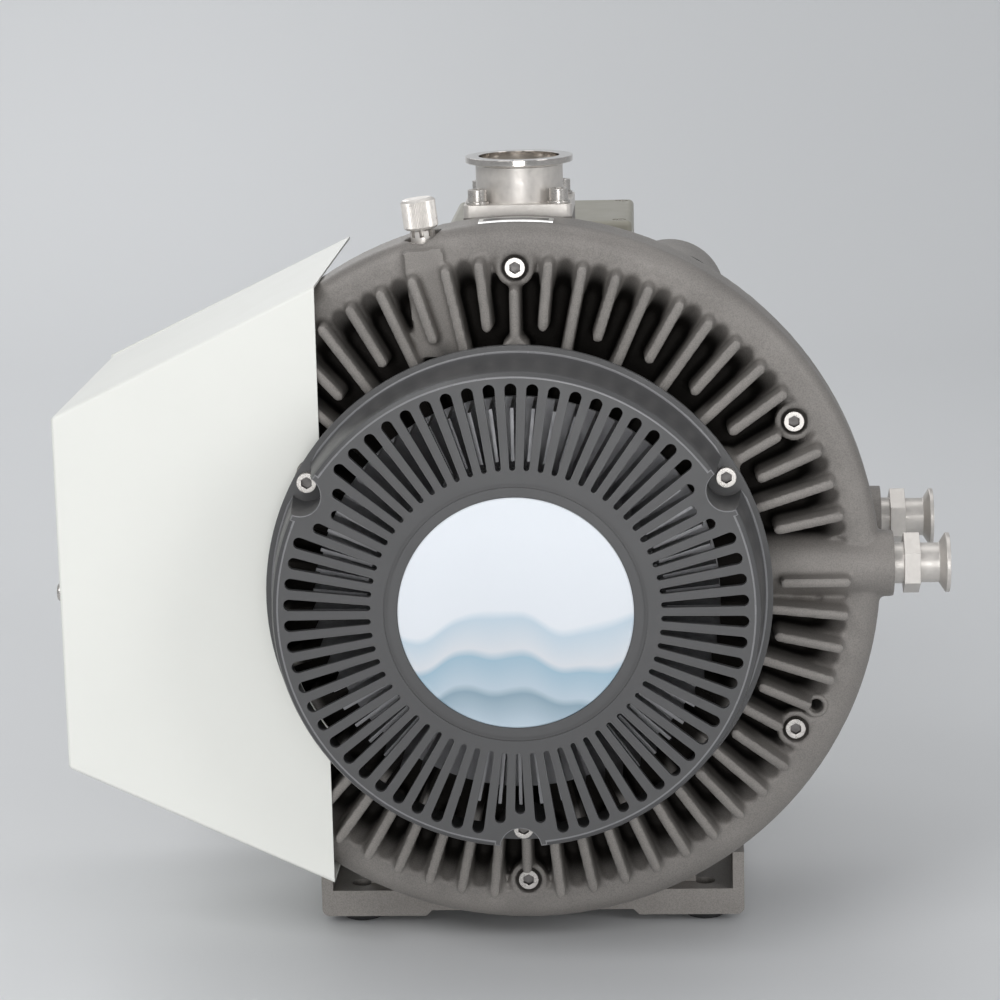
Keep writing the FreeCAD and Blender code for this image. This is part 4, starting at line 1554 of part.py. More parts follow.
def cable_gland():
    """The cable inlet: a threaded spigot, a hexagon and a dome nut, with an open bore."""
    x = TERMINAL_RIGHT_X
    spigot = along_x(GLAND_RADIUS, x - TERMINAL_WALL - 4.0, x, GLAND_Y, GLAND_Z)
    hexagon = regular(GLAND_RADIUS + 3.0, 6, Vector(x, GLAND_Y, GLAND_Z), Vector(1, 0, 0))
    hexagon = hexagon.extrude(Vector(6.0, 0, 0))
    dome = Part.makeCone(GLAND_RADIUS + 2.0, GLAND_BORE + 2.5, 14.0, Vector(x + 6.0, GLAND_Y, GLAND_Z),
                         Vector(1, 0, 0))
    body = joined([spigot, hexagon, dome])
    return body.cut(along_x(GLAND_BORE, x - TERMINAL_WALL - 4.0, x + 20.0, GLAND_Y, GLAND_Z))


def nameplate():
    """A bare plate of sheet, rolled to the curve of the front casting's rim and set on its top."""
    sheet = along_y(RIM_RADIUS + PLATE_SHEET, PLATE_Y, PLATE_Y + PLATE_WIDTH)
    sheet = sheet.cut(along_y(RIM_RADIUS, PLATE_Y, PLATE_Y + PLATE_WIDTH))
    return sheet.common(block(PLATE_X0, PLATE_X1, PLATE_Y, PLATE_Y + PLATE_WIDTH, 0, 2 * RIM_RADIUS))


PIECES = {
    "base": base,
    "rubber_feet": rubber_feet,
    "front_fixed_scroll": front_fixed_scroll,
    "rear_fixed_scroll": rear_fixed_scroll,
    "casing_pads": casing_pads,
    "casing_gasket": casing_gasket,
    "casing_screws": casing_screws,
    "saddle_screws": saddle_screws,
    "fixed_tip_seals": fixed_tip_seals,
    "main_bearings": main_bearings,
    "shaft_seals": shaft_seals,
    "pin_crank_bearings": pin_crank_bearings,
    "fan_cover": fan_cover,
    "fan_cover_screws": fan_cover_screws,
    "centre_disc": centre_disc,
    "inlet_flange": inlet_flange,
    "inlet_o_ring": inlet_o_ring,
    "inlet_strainer": inlet_strainer,
    "inlet_screws": inlet_screws,
    "inlet_washers": inlet_washers,
    "front_exhaust_fitting": lambda: exhaust_fitting(FRONT_EXHAUST_Y),
    "rear_exhaust_fitting": lambda: exhaust_fitting(REAR_EXHAUST_Y),
    "ballast_body": ballast_body,
    "ballast_knob": ballast_knob,
    "ballast_plug": ballast_plug,
    "nameplate": nameplate,
    "side_cover": side_cover,
    "side_bracket": side_bracket,
    "side_cover_screws": side_cover_screws,
    "motor_adapter": adapter,
    "adapter_screws": adapter_screws,
    "motor_front_shield": motor_front_shield,
    "motor_rear_shield": motor_rear_shield,
    "motor_bearings": motor_bearings,
    "motor_frame": motor_frame,
    "motor_stator": motor_stator,
    "motor_foot": motor_foot,
    "foot_screws": foot_screws,
    "fan_cowl": fan_cowl,
    "terminal_box": terminal_box,
    "terminal_lid": terminal_lid,
    "lid_screws": lid_screws,
    "terminal_block": terminal_block,
    "cable_gland": cable_gland,
    "crankshaft": crankshaft,
    "front_fan": front_fan,
    "fan_nut": fan_nut,
    "front_counterweight": lambda: counterweight(FAN_BACK_Y, FRONT_WEIGHT_RADIUS, FRONT_JOURNAL_RADIUS),
    "rear_counterweight": lambda: counterweight(REAR_WEIGHT_Y, REAR_WEIGHT_RADIUS, COUPLING_SEAT_RADIUS),
    "coupling_hubs": coupling_hubs,
    "coupling_spider": coupling_spider,
    "motor_shaft": motor_shaft,
    "motor_rotor": motor_rotor,
    "motor_fan": motor_fan,
    "orbiting_scroll": orbiting_scroll,
    "orbit_bearings": orbit_bearings,
    "orbit_tip_seals": orbit_tip_seals,
    "pin_crank_1": lambda: pin_crank(PIN_CRANK_ANGLES[0]),
    "pin_crank_2": lambda: pin_crank(PIN_CRANK_ANGLES[1]),
    "pin_crank_3": lambda: pin_crank(PIN_CRANK_ANGLES[2]),
}

os.makedirs("parts", exist_ok=True)
for name, make in PIECES.items():
    shape = make()
    shape.translate(ORIGIN_SHIFT)
    shape.exportStep(f"parts/{name}.step")
    print(name, len(shape.Solids), "solids", round(shape.Volume / 1000, 1), "cm3", shape.isValid())
print(len(PIECES), "nodes")
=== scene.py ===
# %% [markdown]
# # A dry scroll vacuum pump, dressed for its portrait
# The solids of the pump come in as a fixed frame: every piece has its true size and place, in
# metres, with Z up, X towards the exhausts and Y running back along the shaft. This lesson adds what
# solids alone don't show: the soft edges of sand castings, the folds of sheet steel, and surfaces
# that look like cast alloy, paint, stainless steel, rubber and moulded plastic.

# %% Load the frame
import bpy
import json
import math
from mathutils import Matrix, Vector

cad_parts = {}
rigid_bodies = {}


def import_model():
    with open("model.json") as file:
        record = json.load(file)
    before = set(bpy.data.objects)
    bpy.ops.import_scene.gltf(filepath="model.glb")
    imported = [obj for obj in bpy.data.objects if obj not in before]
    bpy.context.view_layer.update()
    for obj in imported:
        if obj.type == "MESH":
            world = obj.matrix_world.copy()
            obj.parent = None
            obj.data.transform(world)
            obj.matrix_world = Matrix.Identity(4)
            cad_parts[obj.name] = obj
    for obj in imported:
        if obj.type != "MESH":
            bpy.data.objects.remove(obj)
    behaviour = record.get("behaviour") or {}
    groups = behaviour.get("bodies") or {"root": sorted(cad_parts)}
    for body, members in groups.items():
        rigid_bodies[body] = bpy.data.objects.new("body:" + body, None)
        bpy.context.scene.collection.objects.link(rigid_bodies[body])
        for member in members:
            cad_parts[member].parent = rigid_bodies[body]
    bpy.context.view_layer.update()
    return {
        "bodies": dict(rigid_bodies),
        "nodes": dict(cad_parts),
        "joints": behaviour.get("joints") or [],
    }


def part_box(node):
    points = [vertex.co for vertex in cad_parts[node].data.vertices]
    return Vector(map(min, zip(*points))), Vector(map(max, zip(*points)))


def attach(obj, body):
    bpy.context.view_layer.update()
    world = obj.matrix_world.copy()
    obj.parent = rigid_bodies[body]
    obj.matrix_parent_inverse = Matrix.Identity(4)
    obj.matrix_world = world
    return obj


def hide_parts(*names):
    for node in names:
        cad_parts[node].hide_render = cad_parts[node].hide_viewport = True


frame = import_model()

MM = 0.001
for node in frame["nodes"].values():
    node.data.materials.clear()

# %% [markdown]
# ## The shaft axis
# Most of a scroll pump is round about its shaft. The cooling fan at the front sits on the shaft, so
# the middle of the fan gives the axis that all the radii in this lesson are counted from.

# %% Find the shaft axis
fan_low, fan_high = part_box("front_fan")
AXIS = (fan_low + fan_high) / 2
casting_low, casting_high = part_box("front_fixed_scroll")
print("shaft axis at x", round(AXIS.x, 4), "z", round(AXIS.z, 4))

# %% [markdown]
# ## The camera
# A product photograph of a machine is usually taken with a long lens from a few paces away, a little
# above the middle, so that its circles stay nearly round. The camera's turn is built from three
# angles: how far it looks down, how far it looks to one side, and a slight roll of the tripod head.

# %% Place the camera
CAMERA_PLACE = Vector((0.079, -1.779, 0.577))
LOOKS_DOWN = math.radians(11.95)
LOOKS_LEFT = math.radians(3.16)
ROLLS = math.radians(1.38)
LENS_MM = 118.8
SENSOR_MM = 36.0


def camera_turn():
    """The camera's axes as a matrix: right, up and backwards."""
    ahead = Vector((-math.sin(LOOKS_LEFT) * math.cos(LOOKS_DOWN),
                    math.cos(LOOKS_LEFT) * math.cos(LOOKS_DOWN), -math.sin(LOOKS_DOWN)))
    level_right = Vector((math.cos(LOOKS_LEFT), math.sin(LOOKS_LEFT), 0.0))
    level_up = level_right.cross(ahead)
    right = math.cos(ROLLS) * level_right - math.sin(ROLLS) * level_up
    up = math.sin(ROLLS) * level_right + math.cos(ROLLS) * level_up
    return Matrix((right, up, -ahead)).transposed().to_4x4()


camera = bpy.data.objects.new("camera", bpy.data.cameras.new("camera"))
bpy.context.scene.collection.objects.link(camera)
camera.matrix_world = Matrix.Translation(CAMERA_PLACE) @ camera_turn()
camera.data.lens = LENS_MM
camera.data.sensor_width = SENSOR_MM
bpy.context.scene.camera = camera

# %% [markdown]
# ## Floor and light
# The machine stands on a plain pale floor that curves up into a backdrop, as in a photographer's
# studio. Big soft lamps give the long, gentle highlights that show whether a surface is cast,
# painted or polished. The lamps are kept low enough that a colour looks about as it was mixed.

# %% Build the floor and the backdrop
FLOOR_COLOUR = (0.70, 0.71, 0.72, 1.0)
FLOOR_ROUGHNESS = 0.55
FLOOR_HALF = 3.0
BACKDROP_Y = 1.6
BACKDROP_HEIGHT = 3.2
SWEEP_RADIUS = 0.8
SWEEP_STEPS = 16
BACK_EDGE_Y = BACKDROP_Y - 0.01

floor_material = bpy.data.materials.new("studio_floor")
floor_material.use_nodes = True
floor_shader = floor_material.node_tree.nodes["Principled BSDF"]
floor_shader.inputs["Base Color"].default_value = FLOOR_COLOUR
floor_shader.inputs["Roughness"].default_value = FLOOR_ROUGHNESS

bpy.ops.object.select_all(action="DESELECT")
bpy.ops.mesh.primitive_plane_add(size=2 * FLOOR_HALF, location=(0, BACKDROP_Y - FLOOR_HALF, 0))
floor = bpy.context.object
floor.name = "studio_floor"
bpy.ops.object.transform_apply(location=True, rotation=True, scale=True)
bpy.ops.object.mode_set(mode="EDIT")
bpy.ops.mesh.select_all(action="DESELECT")
bpy.ops.object.mode_set(mode="OBJECT")
for edge in floor.data.edges:
    edge.select = all(floor.data.vertices[v].co.y > BACK_EDGE_Y for v in edge.vertices)
bpy.ops.object.mode_set(mode="EDIT")
bpy.ops.mesh.select_mode(type="EDGE")
bpy.ops.mesh.spin(steps=SWEEP_STEPS, angle=-math.pi / 2,
                  center=(0, BACKDROP_Y, SWEEP_RADIUS), axis=(1, 0, 0))
bpy.ops.mesh.extrude_region_move(TRANSFORM_OT_translate={"value": (0, 0, BACKDROP_HEIGHT)})
bpy.ops.object.mode_set(mode="OBJECT")
bpy.ops.object.shade_smooth()
floor.data.materials.append(floor_material)
floor_top = max(v.co.z for v in floor.data.vertices)
print("backdrop rises to", round(floor_top, 2), "m")

# %% [markdown]
# Each lamp has its own work in the picture. The key lamp gives the form and the fill opens the
# shadows between the fins. A low one in front reaches the base, one above lights what looks up, and
# one behind draws a thin bright line along the upper edges. All of them are square areas that point
# at the middle of the machine.

# %% Hang the lamps
MACHINE_MIDDLE = Vector((0.0, -0.05, 0.20))
AIR_COLOUR = (0.95, 0.97, 1.0, 1.0)
AIR_STRENGTH = 0.37


def soft_lamp(name, place, size, watts):
    """Hangs a square soft box that faces the machine; its size is in metres."""
    light = bpy.data.lights.new(name, "AREA")
    light.size = size
    light.energy = watts
    lamp = bpy.data.objects.new(name, light)
    bpy.context.scene.collection.objects.link(lamp)
    lamp.location = place
    lamp.rotation_mode = "QUATERNION"
    lamp.rotation_quaternion = (MACHINE_MIDDLE - Vector(place)).to_track_quat("-Z", "Y")


soft_lamp("key_lamp", (-1.1, -1.9, 1.9), 1.2, 22.0)
soft_lamp("fill_lamp", (1.9, -1.5, 1.1), 1.0, 13.0)
soft_lamp("low_lamp", (0.1, -2.7, 0.35), 1.0, 17.0)
soft_lamp("top_lamp", (0.2, 0.3, 2.3), 1.2, 7.0)
soft_lamp("back_lamp", (-0.9, 2.0, 1.5), 1.2, 12.0)

world = bpy.data.worlds.new("studio_air")
bpy.context.scene.world = world
world.use_nodes = True
air = world.node_tree.nodes["Background"]
air.inputs["Color"].default_value = AIR_COLOUR
air.inputs["Strength"].default_value = AIR_STRENGTH
bpy.context.scene.view_settings.view_transform = "Standard"

# %% [markdown]
# ## Finishes
# Every finish is mixed from nodes, on Object coordinates in metres, so that a grain of sand or a
# tool mark keeps its real size on every piece. A Finish starts as the plain shader, and its small
# tools add what a real surface has: patches of slightly different tone, grain that stands proud,
# and uneven gloss. Numbers that hold all over a surface are set on the shader's own sockets.

# %% Tools for mixing finishes
NOISE_LOW, NOISE_HIGH = 0.3, 0.7


class Finish:
    """A material that is being mixed: its shader and the coordinates that its patterns read."""

    def __init__(self, name, metallic, roughness):
        self.material = bpy.data.materials.new(name)
        self.material.use_nodes = True
        self.nodes = self.material.node_tree.nodes
        self.links = self.material.node_tree.links
        self.shader = self.nodes["Principled BSDF"]
        self.shader.inputs["Metallic"].default_value = metallic
        self.shader.inputs["Roughness"].default_value = roughness
        self.place = self.nodes.new("ShaderNodeTexCoord").outputs["Object"]

    def noise(self, size_mm, detail=2.0, stretch=(1.0, 1.0, 1.0)):
        """Soft random patches about size_mm across; stretch makes them longer along an axis."""
        mapping = self.nodes.new("ShaderNodeMapping")
        mapping.inputs["Scale"].default_value = [1.0 / (size_mm * MM * s) for s in stretch]
        self.links.new(self.place, mapping.inputs["Vector"])
        texture = self.nodes.new("ShaderNodeTexNoise")
        texture.inputs["Scale"].default_value = 1.0
        texture.inputs["Detail"].default_value = detail
        self.links.new(mapping.outputs["Vector"], texture.inputs["Vector"])
        return texture.outputs["Fac"]

    def ramp(self, factor, stops):
        """Turns a factor into colours; stops are (position, colour)."""
        node = self.nodes.new("ShaderNodeValToRGB")
        elements = node.color_ramp.elements
        while len(elements) < len(stops):
            elements.new(0.5)
        for element, (position, colour) in zip(elements, stops):
            element.position = position
            element.color = (*colour, 1.0)
        self.links.new(factor, node.inputs["Fac"])
        return node.outputs["Color"]

    def spread(self, factor, low, high):
        """Maps a factor on to the range low to high, over the stretch where most noise lies."""
        node = self.nodes.new("ShaderNodeMapRange")
        node.inputs["From Min"].default_value = NOISE_LOW
        node.inputs["From Max"].default_value = NOISE_HIGH
        node.inputs["To Min"].default_value = low
        node.inputs["To Max"].default_value = high
        self.links.new(factor, node.inputs["Value"])
        return node.outputs["Result"]

    def along(self, axis):
        """The coordinate along X, Y or Z, in metres."""
        split = self.nodes.new("ShaderNodeSeparateXYZ")
        self.links.new(self.place, split.inputs["Vector"])
        return split.outputs[axis]

    def off_shaft(self):
        """The distance from the shaft's axis, in metres."""
        centred = self.nodes.new("ShaderNodeMapping")
        centred.inputs["Location"].default_value = (-AXIS.x, 0.0, -AXIS.z)
        centred.inputs["Scale"].default_value = (1.0, 0.0, 1.0)
        self.links.new(self.place, centred.inputs["Vector"])
        length = self.nodes.new("ShaderNodeVectorMath")
        length.operation = "LENGTH"
        self.links.new(centred.outputs["Vector"], length.inputs[0])
        return length.outputs["Value"]

    def fade(self, value, start, end):
        """Turns a value into 0 at start and 1 at end, with a soft curve between them."""
        node = self.nodes.new("ShaderNodeMapRange")
        node.interpolation_type = "SMOOTHSTEP"
        node.inputs["From Min"].default_value = start
        node.inputs["From Max"].default_value = end
        self.links.new(value, node.inputs["Value"])
        return node.outputs["Result"]

    def join(self, operation, first, second):
        """Two values made into one by a math node, such as MULTIPLY or MAXIMUM."""
        node = self.nodes.new("ShaderNodeMath")
        node.operation = operation
        self.links.new(first, node.inputs[0])
        self.links.new(second, node.inputs[1])
        return node.outputs[0]

    def multiply(self, colour, tint, amount=1.0):
        """One colour times another, by that amount."""
        mix = self.nodes.new("ShaderNodeMix")
        mix.data_type = "RGBA"
        mix.blend_type = "MULTIPLY"
        mix.inputs[0].default_value = amount
        self.links.new(colour, mix.inputs[6])
        self.links.new(tint, mix.inputs[7])
        return mix.outputs[2]

    def colour(self, socket):
        """The surface's own colour."""
        self.links.new(socket, self.shader.inputs["Base Color"])

    def gloss(self, socket):
        """How rough the surface is: 0 mirrors and 1 is quite dull."""
        self.links.new(socket, self.shader.inputs["Roughness"])

    def sheen(self, socket):
        """How strongly the surface mirrors light that doesn't take its colour; 0.5 is usual."""
        self.links.new(socket, self.shader.inputs["Specular IOR Level"])

    def raise_grain(self, height, millimetres, strength=1.0, below=None):
        """Adds relief that many millimetres high; below is an earlier relief's normal."""
        node = self.nodes.new("ShaderNodeBump")
        node.inputs["Strength"].default_value = strength
        node.inputs["Distance"].default_value = millimetres * MM
        self.links.new(height, node.inputs["Height"])
        if below is not None:
            self.links.new(below, node.inputs["Normal"])
        self.links.new(node.outputs["Normal"], self.shader.inputs["Normal"])
        return node.outputs["Normal"]


def shade(colour, factor):
    """A lighter or darker version of a colour."""
    return tuple(min(1.0, c * factor) for c in colour)


# %% [markdown]
# ### Sand-cast alloy
# Molten alloy takes the print of the sand, so a casting is dull and evenly pitted, with grains about
# half a millimetre across and slow changes of tone where the metal cooled at different speeds. A
# fine noise gives the pits and a large one the tone.

# %% Mix the cast alloy
CAST_GREY = (0.250, 0.234, 0.219)
WHITE = (1.0, 1.0, 1.0)
SPECK_LOW, SPECK_HIGH = (0.80, 0.80, 0.80), (1.16, 1.15, 1.13)
USUAL_SHEEN, DARK_SHEEN = 0.5, 0.04


def cast_alloy(name="cast_alloy", grey=CAST_GREY, painted_shade=None):
    """Cast alloy; the optional tool returns the mask of the surfaces that get painted shade."""
    finish = Finish(name, metallic=0.35, roughness=0.55)
    tone = finish.ramp(finish.noise(38.0, detail=4.0),
                       [(0.30, shade(grey, 0.88)), (0.52, grey), (0.74, shade(grey, 1.12))])
    speck = finish.ramp(finish.noise(0.55, detail=2.0),
                        [(0.34, SPECK_LOW), (0.50, WHITE), (0.70, SPECK_HIGH)])
    colour = finish.multiply(tone, speck, 0.8)
    # Painted shade: inside the mask the colour is darkened and the reflection nearly put out.
    if painted_shade is not None:
        mask = painted_shade(finish)
        colour = finish.multiply(colour, finish.ramp(mask, [(0.0, WHITE), (1.0, PAINTED_SHADE_COLOUR)]))
        finish.sheen(finish.spread(mask, USUAL_SHEEN, DARK_SHEEN))
    finish.colour(colour)
    finish.gloss(finish.spread(finish.noise(0.9), 0.48, 0.64))
    waves = finish.raise_grain(finish.noise(6.0, detail=3.0), 0.25, 0.4)
    finish.raise_grain(finish.noise(0.45, detail=3.0), 0.09, 0.7, below=waves)
    return finish.material


CAST_ALLOY = cast_alloy()
# Painted light: the base is the same cast alloy, mixed lighter to stand in for more light on it.
LIT_BASE_ALLOY = cast_alloy("base_cast_alloy_painted_light", grey=shade(CAST_GREY, 1.18))

# %% [markdown]
# Little light reaches deep between the fins of the front casting, so shade is painted into the
# colour there: the channels' floors, and all that lies behind the fan cover, are painted many times
# darker than the rim and mirror next to nothing. Two masks say where.
# One grows with depth behind the rim's face and fades out towards the rim, where the channels run
# out. The other starts at the cover's edge and grows inwards.

# %% Mix the front casting's alloy, with painted shade in its channels
# Painted shade: the colour that the channels' floors and all behind the fan cover are multiplied by.
PAINTED_SHADE_COLOUR = (0.075, 0.072, 0.070)
POSTS_STAND_OUT = 31.0 * MM
RIM_FACE_Y = casting_low.y + POSTS_STAND_OUT
DARK_FROM, DARK_TO = RIM_FACE_Y + 0.5 * MM, RIM_FACE_Y + 10.0 * MM
CHANNELS_RUN_OUT, CHANNELS_DEEP = 0.169, 0.152
SHADE_FROM, SHADE_TO = 0.123, 0.115


def channel_painted_shade(finish):
    """The mask of the painted shade: 0 on the rim, 1 deep in the channels and under the fan cover."""
    off_shaft = finish.off_shaft()
    depth = finish.fade(finish.along("Y"), DARK_FROM, DARK_TO)
    inside = finish.fade(off_shaft, CHANNELS_RUN_OUT, CHANNELS_DEEP)
    under_cover = finish.fade(off_shaft, SHADE_FROM, SHADE_TO)
    return finish.join("MAXIMUM", finish.join("MULTIPLY", depth, inside), under_cover)


# This copy of the cast alloy carries the painted shade.
SHADED_FRONT_ALLOY = cast_alloy("front_cast_alloy_painted_shade", painted_shade=channel_painted_shade)

# %% [markdown]
# ### Machined alloy and steel
# A cutter leaves fine parallel lines. On a turned part they run round the axis and on a milled one
# straight across, but at this size both read as a bright surface whose gloss changes in thin bands.

# %% Mix the machined metals


def machined(name, colour, roughness, band_mm, stretch=(1.0, 1.0, 1.0), relief=0.4, metallic=1.0):
    """A metal whose tone and gloss change in bands; stretch says which way the bands run."""
    finish = Finish(name, metallic=metallic, roughness=roughness)
    lines = finish.noise(band_mm, detail=3.0, stretch=stretch)
    finish.colour(finish.ramp(lines, [(0.30, shade(colour, 0.94)), (0.70, shade(colour, 1.04))]))
    finish.gloss(finish.spread(lines, roughness * 0.80, roughness * 1.25))
    if relief:
        finish.raise_grain(lines, 0.02, relief)
    return finish.material


MACHINED_ALLOY = machined("machined_alloy", (0.62, 0.62, 0.63), 0.34, 0.6, (1.0, 14.0, 1.0))
# Painted shade: the fan's alloy is mixed darker than the machined alloy for the cover's shadow on it.
SHADED_FAN_ALLOY = machined("fan_alloy_painted_shade", (0.27, 0.27, 0.28), 0.42, 2.5, (1.0, 1.0, 3.0), metallic=0.7)
SHAFT_STEEL = machined("shaft_steel", (0.56, 0.56, 0.57), 0.28, 0.5, (8.0, 1.0, 8.0))
# Dark steel for the motor's iron; the screw sockets get it too, as painted shade.
DARK_STEEL_AND_SOCKET_SHADE = machined("dark_steel_and_socket_shade", (0.20, 0.19, 0.185), 0.50, 1.0, (2.0, 2.0, 2.0))

# %% [markdown]
# The inlet's tube and plate are blasted with glass beads, which scatters light so well that they read
# nearly white, so their shader is only partly metallic. The faces that a clamp seals on are polished
# and mirror the room. The small fittings and the knob lie between the two, and the screws are a
# little darker than the rest.

# %% Mix the stainless steels
STEEL_WHITE = (0.73, 0.695, 0.655)
SCREW_GREY = (0.58, 0.555, 0.525)
STEEL_PATCH_MM = 3.0


def stainless(name, colour, roughness, metallic=1.0):
    """Smooth steel with faint patches of tone in place of tool marks."""
    return machined(name, colour, roughness, STEEL_PATCH_MM, relief=0.0, metallic=metallic)


STAINLESS = stainless("blasted_stainless", shade(STEEL_WHITE, 0.93), 0.40, metallic=0.55)
POLISHED = stainless("polished_stainless", STEEL_WHITE, 0.12)
FITTING_STEEL = stainless("fitting_steel", shade(STEEL_WHITE, 0.87), 0.38, metallic=0.5)
KNOB_STEEL = stainless("knob_steel", shade(STEEL_WHITE, 1.16), 0.34, metallic=0.5)
SCREW_STEEL = stainless("screw_steel", SCREW_GREY, 0.28, metallic=0.8)

# %% [markdown]
# ### Paints
# A powder coat has a skin like very fine orange peel, and a sprayed satin paint is smoother. The
# paints differ in colour, gloss and the size of their waves. A little dust tone keeps large panels
# from looking like flat fills.

# %% Mix the paints


def paint(name, colour, roughness, peel_mm, peel_height, dust):
    """A paint whose waves are peel_mm across; dust is the share by which its tone changes."""
    finish = Finish(name, metallic=0.0, roughness=roughness)
    tone = finish.noise(55.0, detail=5.0)
    finish.colour(finish.ramp(tone, [(0.30, shade(colour, 1.0 - dust)), (0.70, shade(colour, 1.0 + dust))]))
    finish.gloss(finish.spread(finish.noise(18.0, detail=4.0), roughness * 0.88, roughness * 1.14))
    finish.raise_grain(finish.noise(peel_mm, detail=2.0), peel_height, 0.6)
    return finish.material


COVER_GREY = paint("cover_paint", (0.071, 0.0705, 0.072), 0.38, 0.8, 0.020, dust=0.04)
# A painted highlight: the paler, glossier paint for the cover's lips and its flange fillet.
COVER_PAINTED_HIGHLIGHT = paint("cover_lip_painted_highlight", (0.205, 0.204, 0.210), 0.28, 0.8, 0.010, dust=0.04)
COVER_WHITE = paint("white_paint", (0.865, 0.868, 0.820), 0.42, 1.6, 0.012, dust=0.008)
MOTOR_PAINT = paint("motor_paint", (0.300, 0.285, 0.235), 0.42, 1.8, 0.040, dust=0.05)
WEIGHT_PAINT = paint("weight_iron", (0.070, 0.070, 0.074), 0.60, 1.0, 0.120, dust=0.15)

# %% [markdown]
# ### Rubber and plastics
# Rubber is nearly black with a dry bloom, and moulded plastic shows a fine spark-eroded grain.

# %% Mix the rubber and the plastics


def moulded(name, colour, roughness, grain_mm, grain_height, bloom=0.10):
    """A moulded surface with fine grain; bloom is the share by which its tone changes."""
    finish = Finish(name, metallic=0.0, roughness=roughness)
    finish.colour(finish.ramp(finish.noise(9.0, detail=5.0),
                              [(0.30, shade(colour, 1.0 - bloom)), (0.72, shade(colour, 1.0 + bloom))]))
    finish.gloss(finish.spread(finish.noise(2.5, detail=3.0), roughness * 0.90, roughness * 1.10))
    finish.raise_grain(finish.noise(grain_mm, detail=2.0), grain_height, 0.7)
    return finish.material


RUBBER = moulded("rubber_black", (0.022, 0.022, 0.023), 0.72, 0.5, 0.05, bloom=0.35)
BLACK_PLASTIC = moulded("black_plastic", (0.030, 0.030, 0.032), 0.48, 0.35, 0.03)
SEAL_PLASTIC = moulded("seal_plastic", (0.20, 0.12, 0.055), 0.50, 0.6, 0.02)
print("finishes:", len(bpy.data.materials))

# %% [markdown]
# ## Tools for shaping
# A solid straight from its drawing has knife edges, and no real edge is that sharp: sand crumbles
# at a mould's corners, and a machinist breaks each edge with a file. So most pieces here start as a
# merged copy of their solid, on which the flat faces are made whole again, and a bevel then rounds
# every corner by as much as the real process would.

# %% Make the shaping tools
WELD_DISTANCE = 0.002 * MM
FLAT_WITHIN = math.radians(0.6)
SMOOTH_BELOW = math.radians(40.0)
FLAT_SIDE_WEIGHT = 90

dressed = set()


def pick(piece):
    """Makes one object the only one selected and active."""
    bpy.ops.object.select_all(action="DESELECT")
    piece.select_set(True)
    bpy.context.view_layer.objects.active = piece


def merged_copy(node, name):
    """A copy of a node as one closed skin whose flat faces are whole."""
    piece = bpy.data.objects.new(name, frame["nodes"][node].data.copy())
    bpy.context.scene.collection.objects.link(piece)
    pick(piece)
    bpy.ops.object.mode_set(mode="EDIT")
    bpy.ops.mesh.select_all(action="SELECT")
    bpy.ops.mesh.customdata_custom_splitnormals_clear()
    bpy.ops.mesh.remove_doubles(threshold=WELD_DISTANCE)
    bpy.ops.mesh.dissolve_limited(angle_limit=FLAT_WITHIN)
    bpy.ops.object.mode_set(mode="OBJECT")
    return piece


def apply_modifier(piece, kind, **settings):
    """Adds a modifier with these settings and applies it to the mesh."""
    pick(piece)
    modifier = piece.modifiers.new(kind.lower(), kind)
    for setting, value in settings.items():
        setattr(modifier, setting, value)
    bpy.ops.object.modifier_apply(modifier=modifier.name)


def round_edges(piece, radius_mm, sharper_than=32.0):
    """Bevels every edge that turns by more than this many degrees."""
    apply_modifier(piece, "BEVEL", width=radius_mm * MM, segments=2, limit_method="ANGLE",
                   angle_limit=math.radians(sharper_than), miter_outer="MITER_ARC",
                   use_clamp_overlap=True)


def finish_piece(piece, material, *nodes, flat_sides=True):
    """Shades a piece, gives it its finish if it has none, and lets it stand for its nodes.

    With flat_sides the light follows the wide faces up to their bevels, so they keep looking flat.
    """
    pick(piece)
    bpy.ops.object.shade_smooth_by_angle(angle=SMOOTH_BELOW)
    if flat_sides:
        apply_modifier(piece, "WEIGHTED_NORMAL", weight=FLAT_SIDE_WEIGHT, keep_sharp=True)
    if not piece.data.materials:
        piece.data.materials.append(material)
    parent = frame["nodes"][nodes[0]].parent
    body = next(name for name, empty in frame["bodies"].items() if parent == empty)
    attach(piece, body)
    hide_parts(*nodes)
    dressed.update(nodes)

# %% [markdown]
# ## Pieces that only need broken edges
# These shapes are already right, so each gets a copy with its edges broken. The last number in a row
# is the radius in millimetres: a millimetre or so on castings, a few tenths on turned and sheet parts.

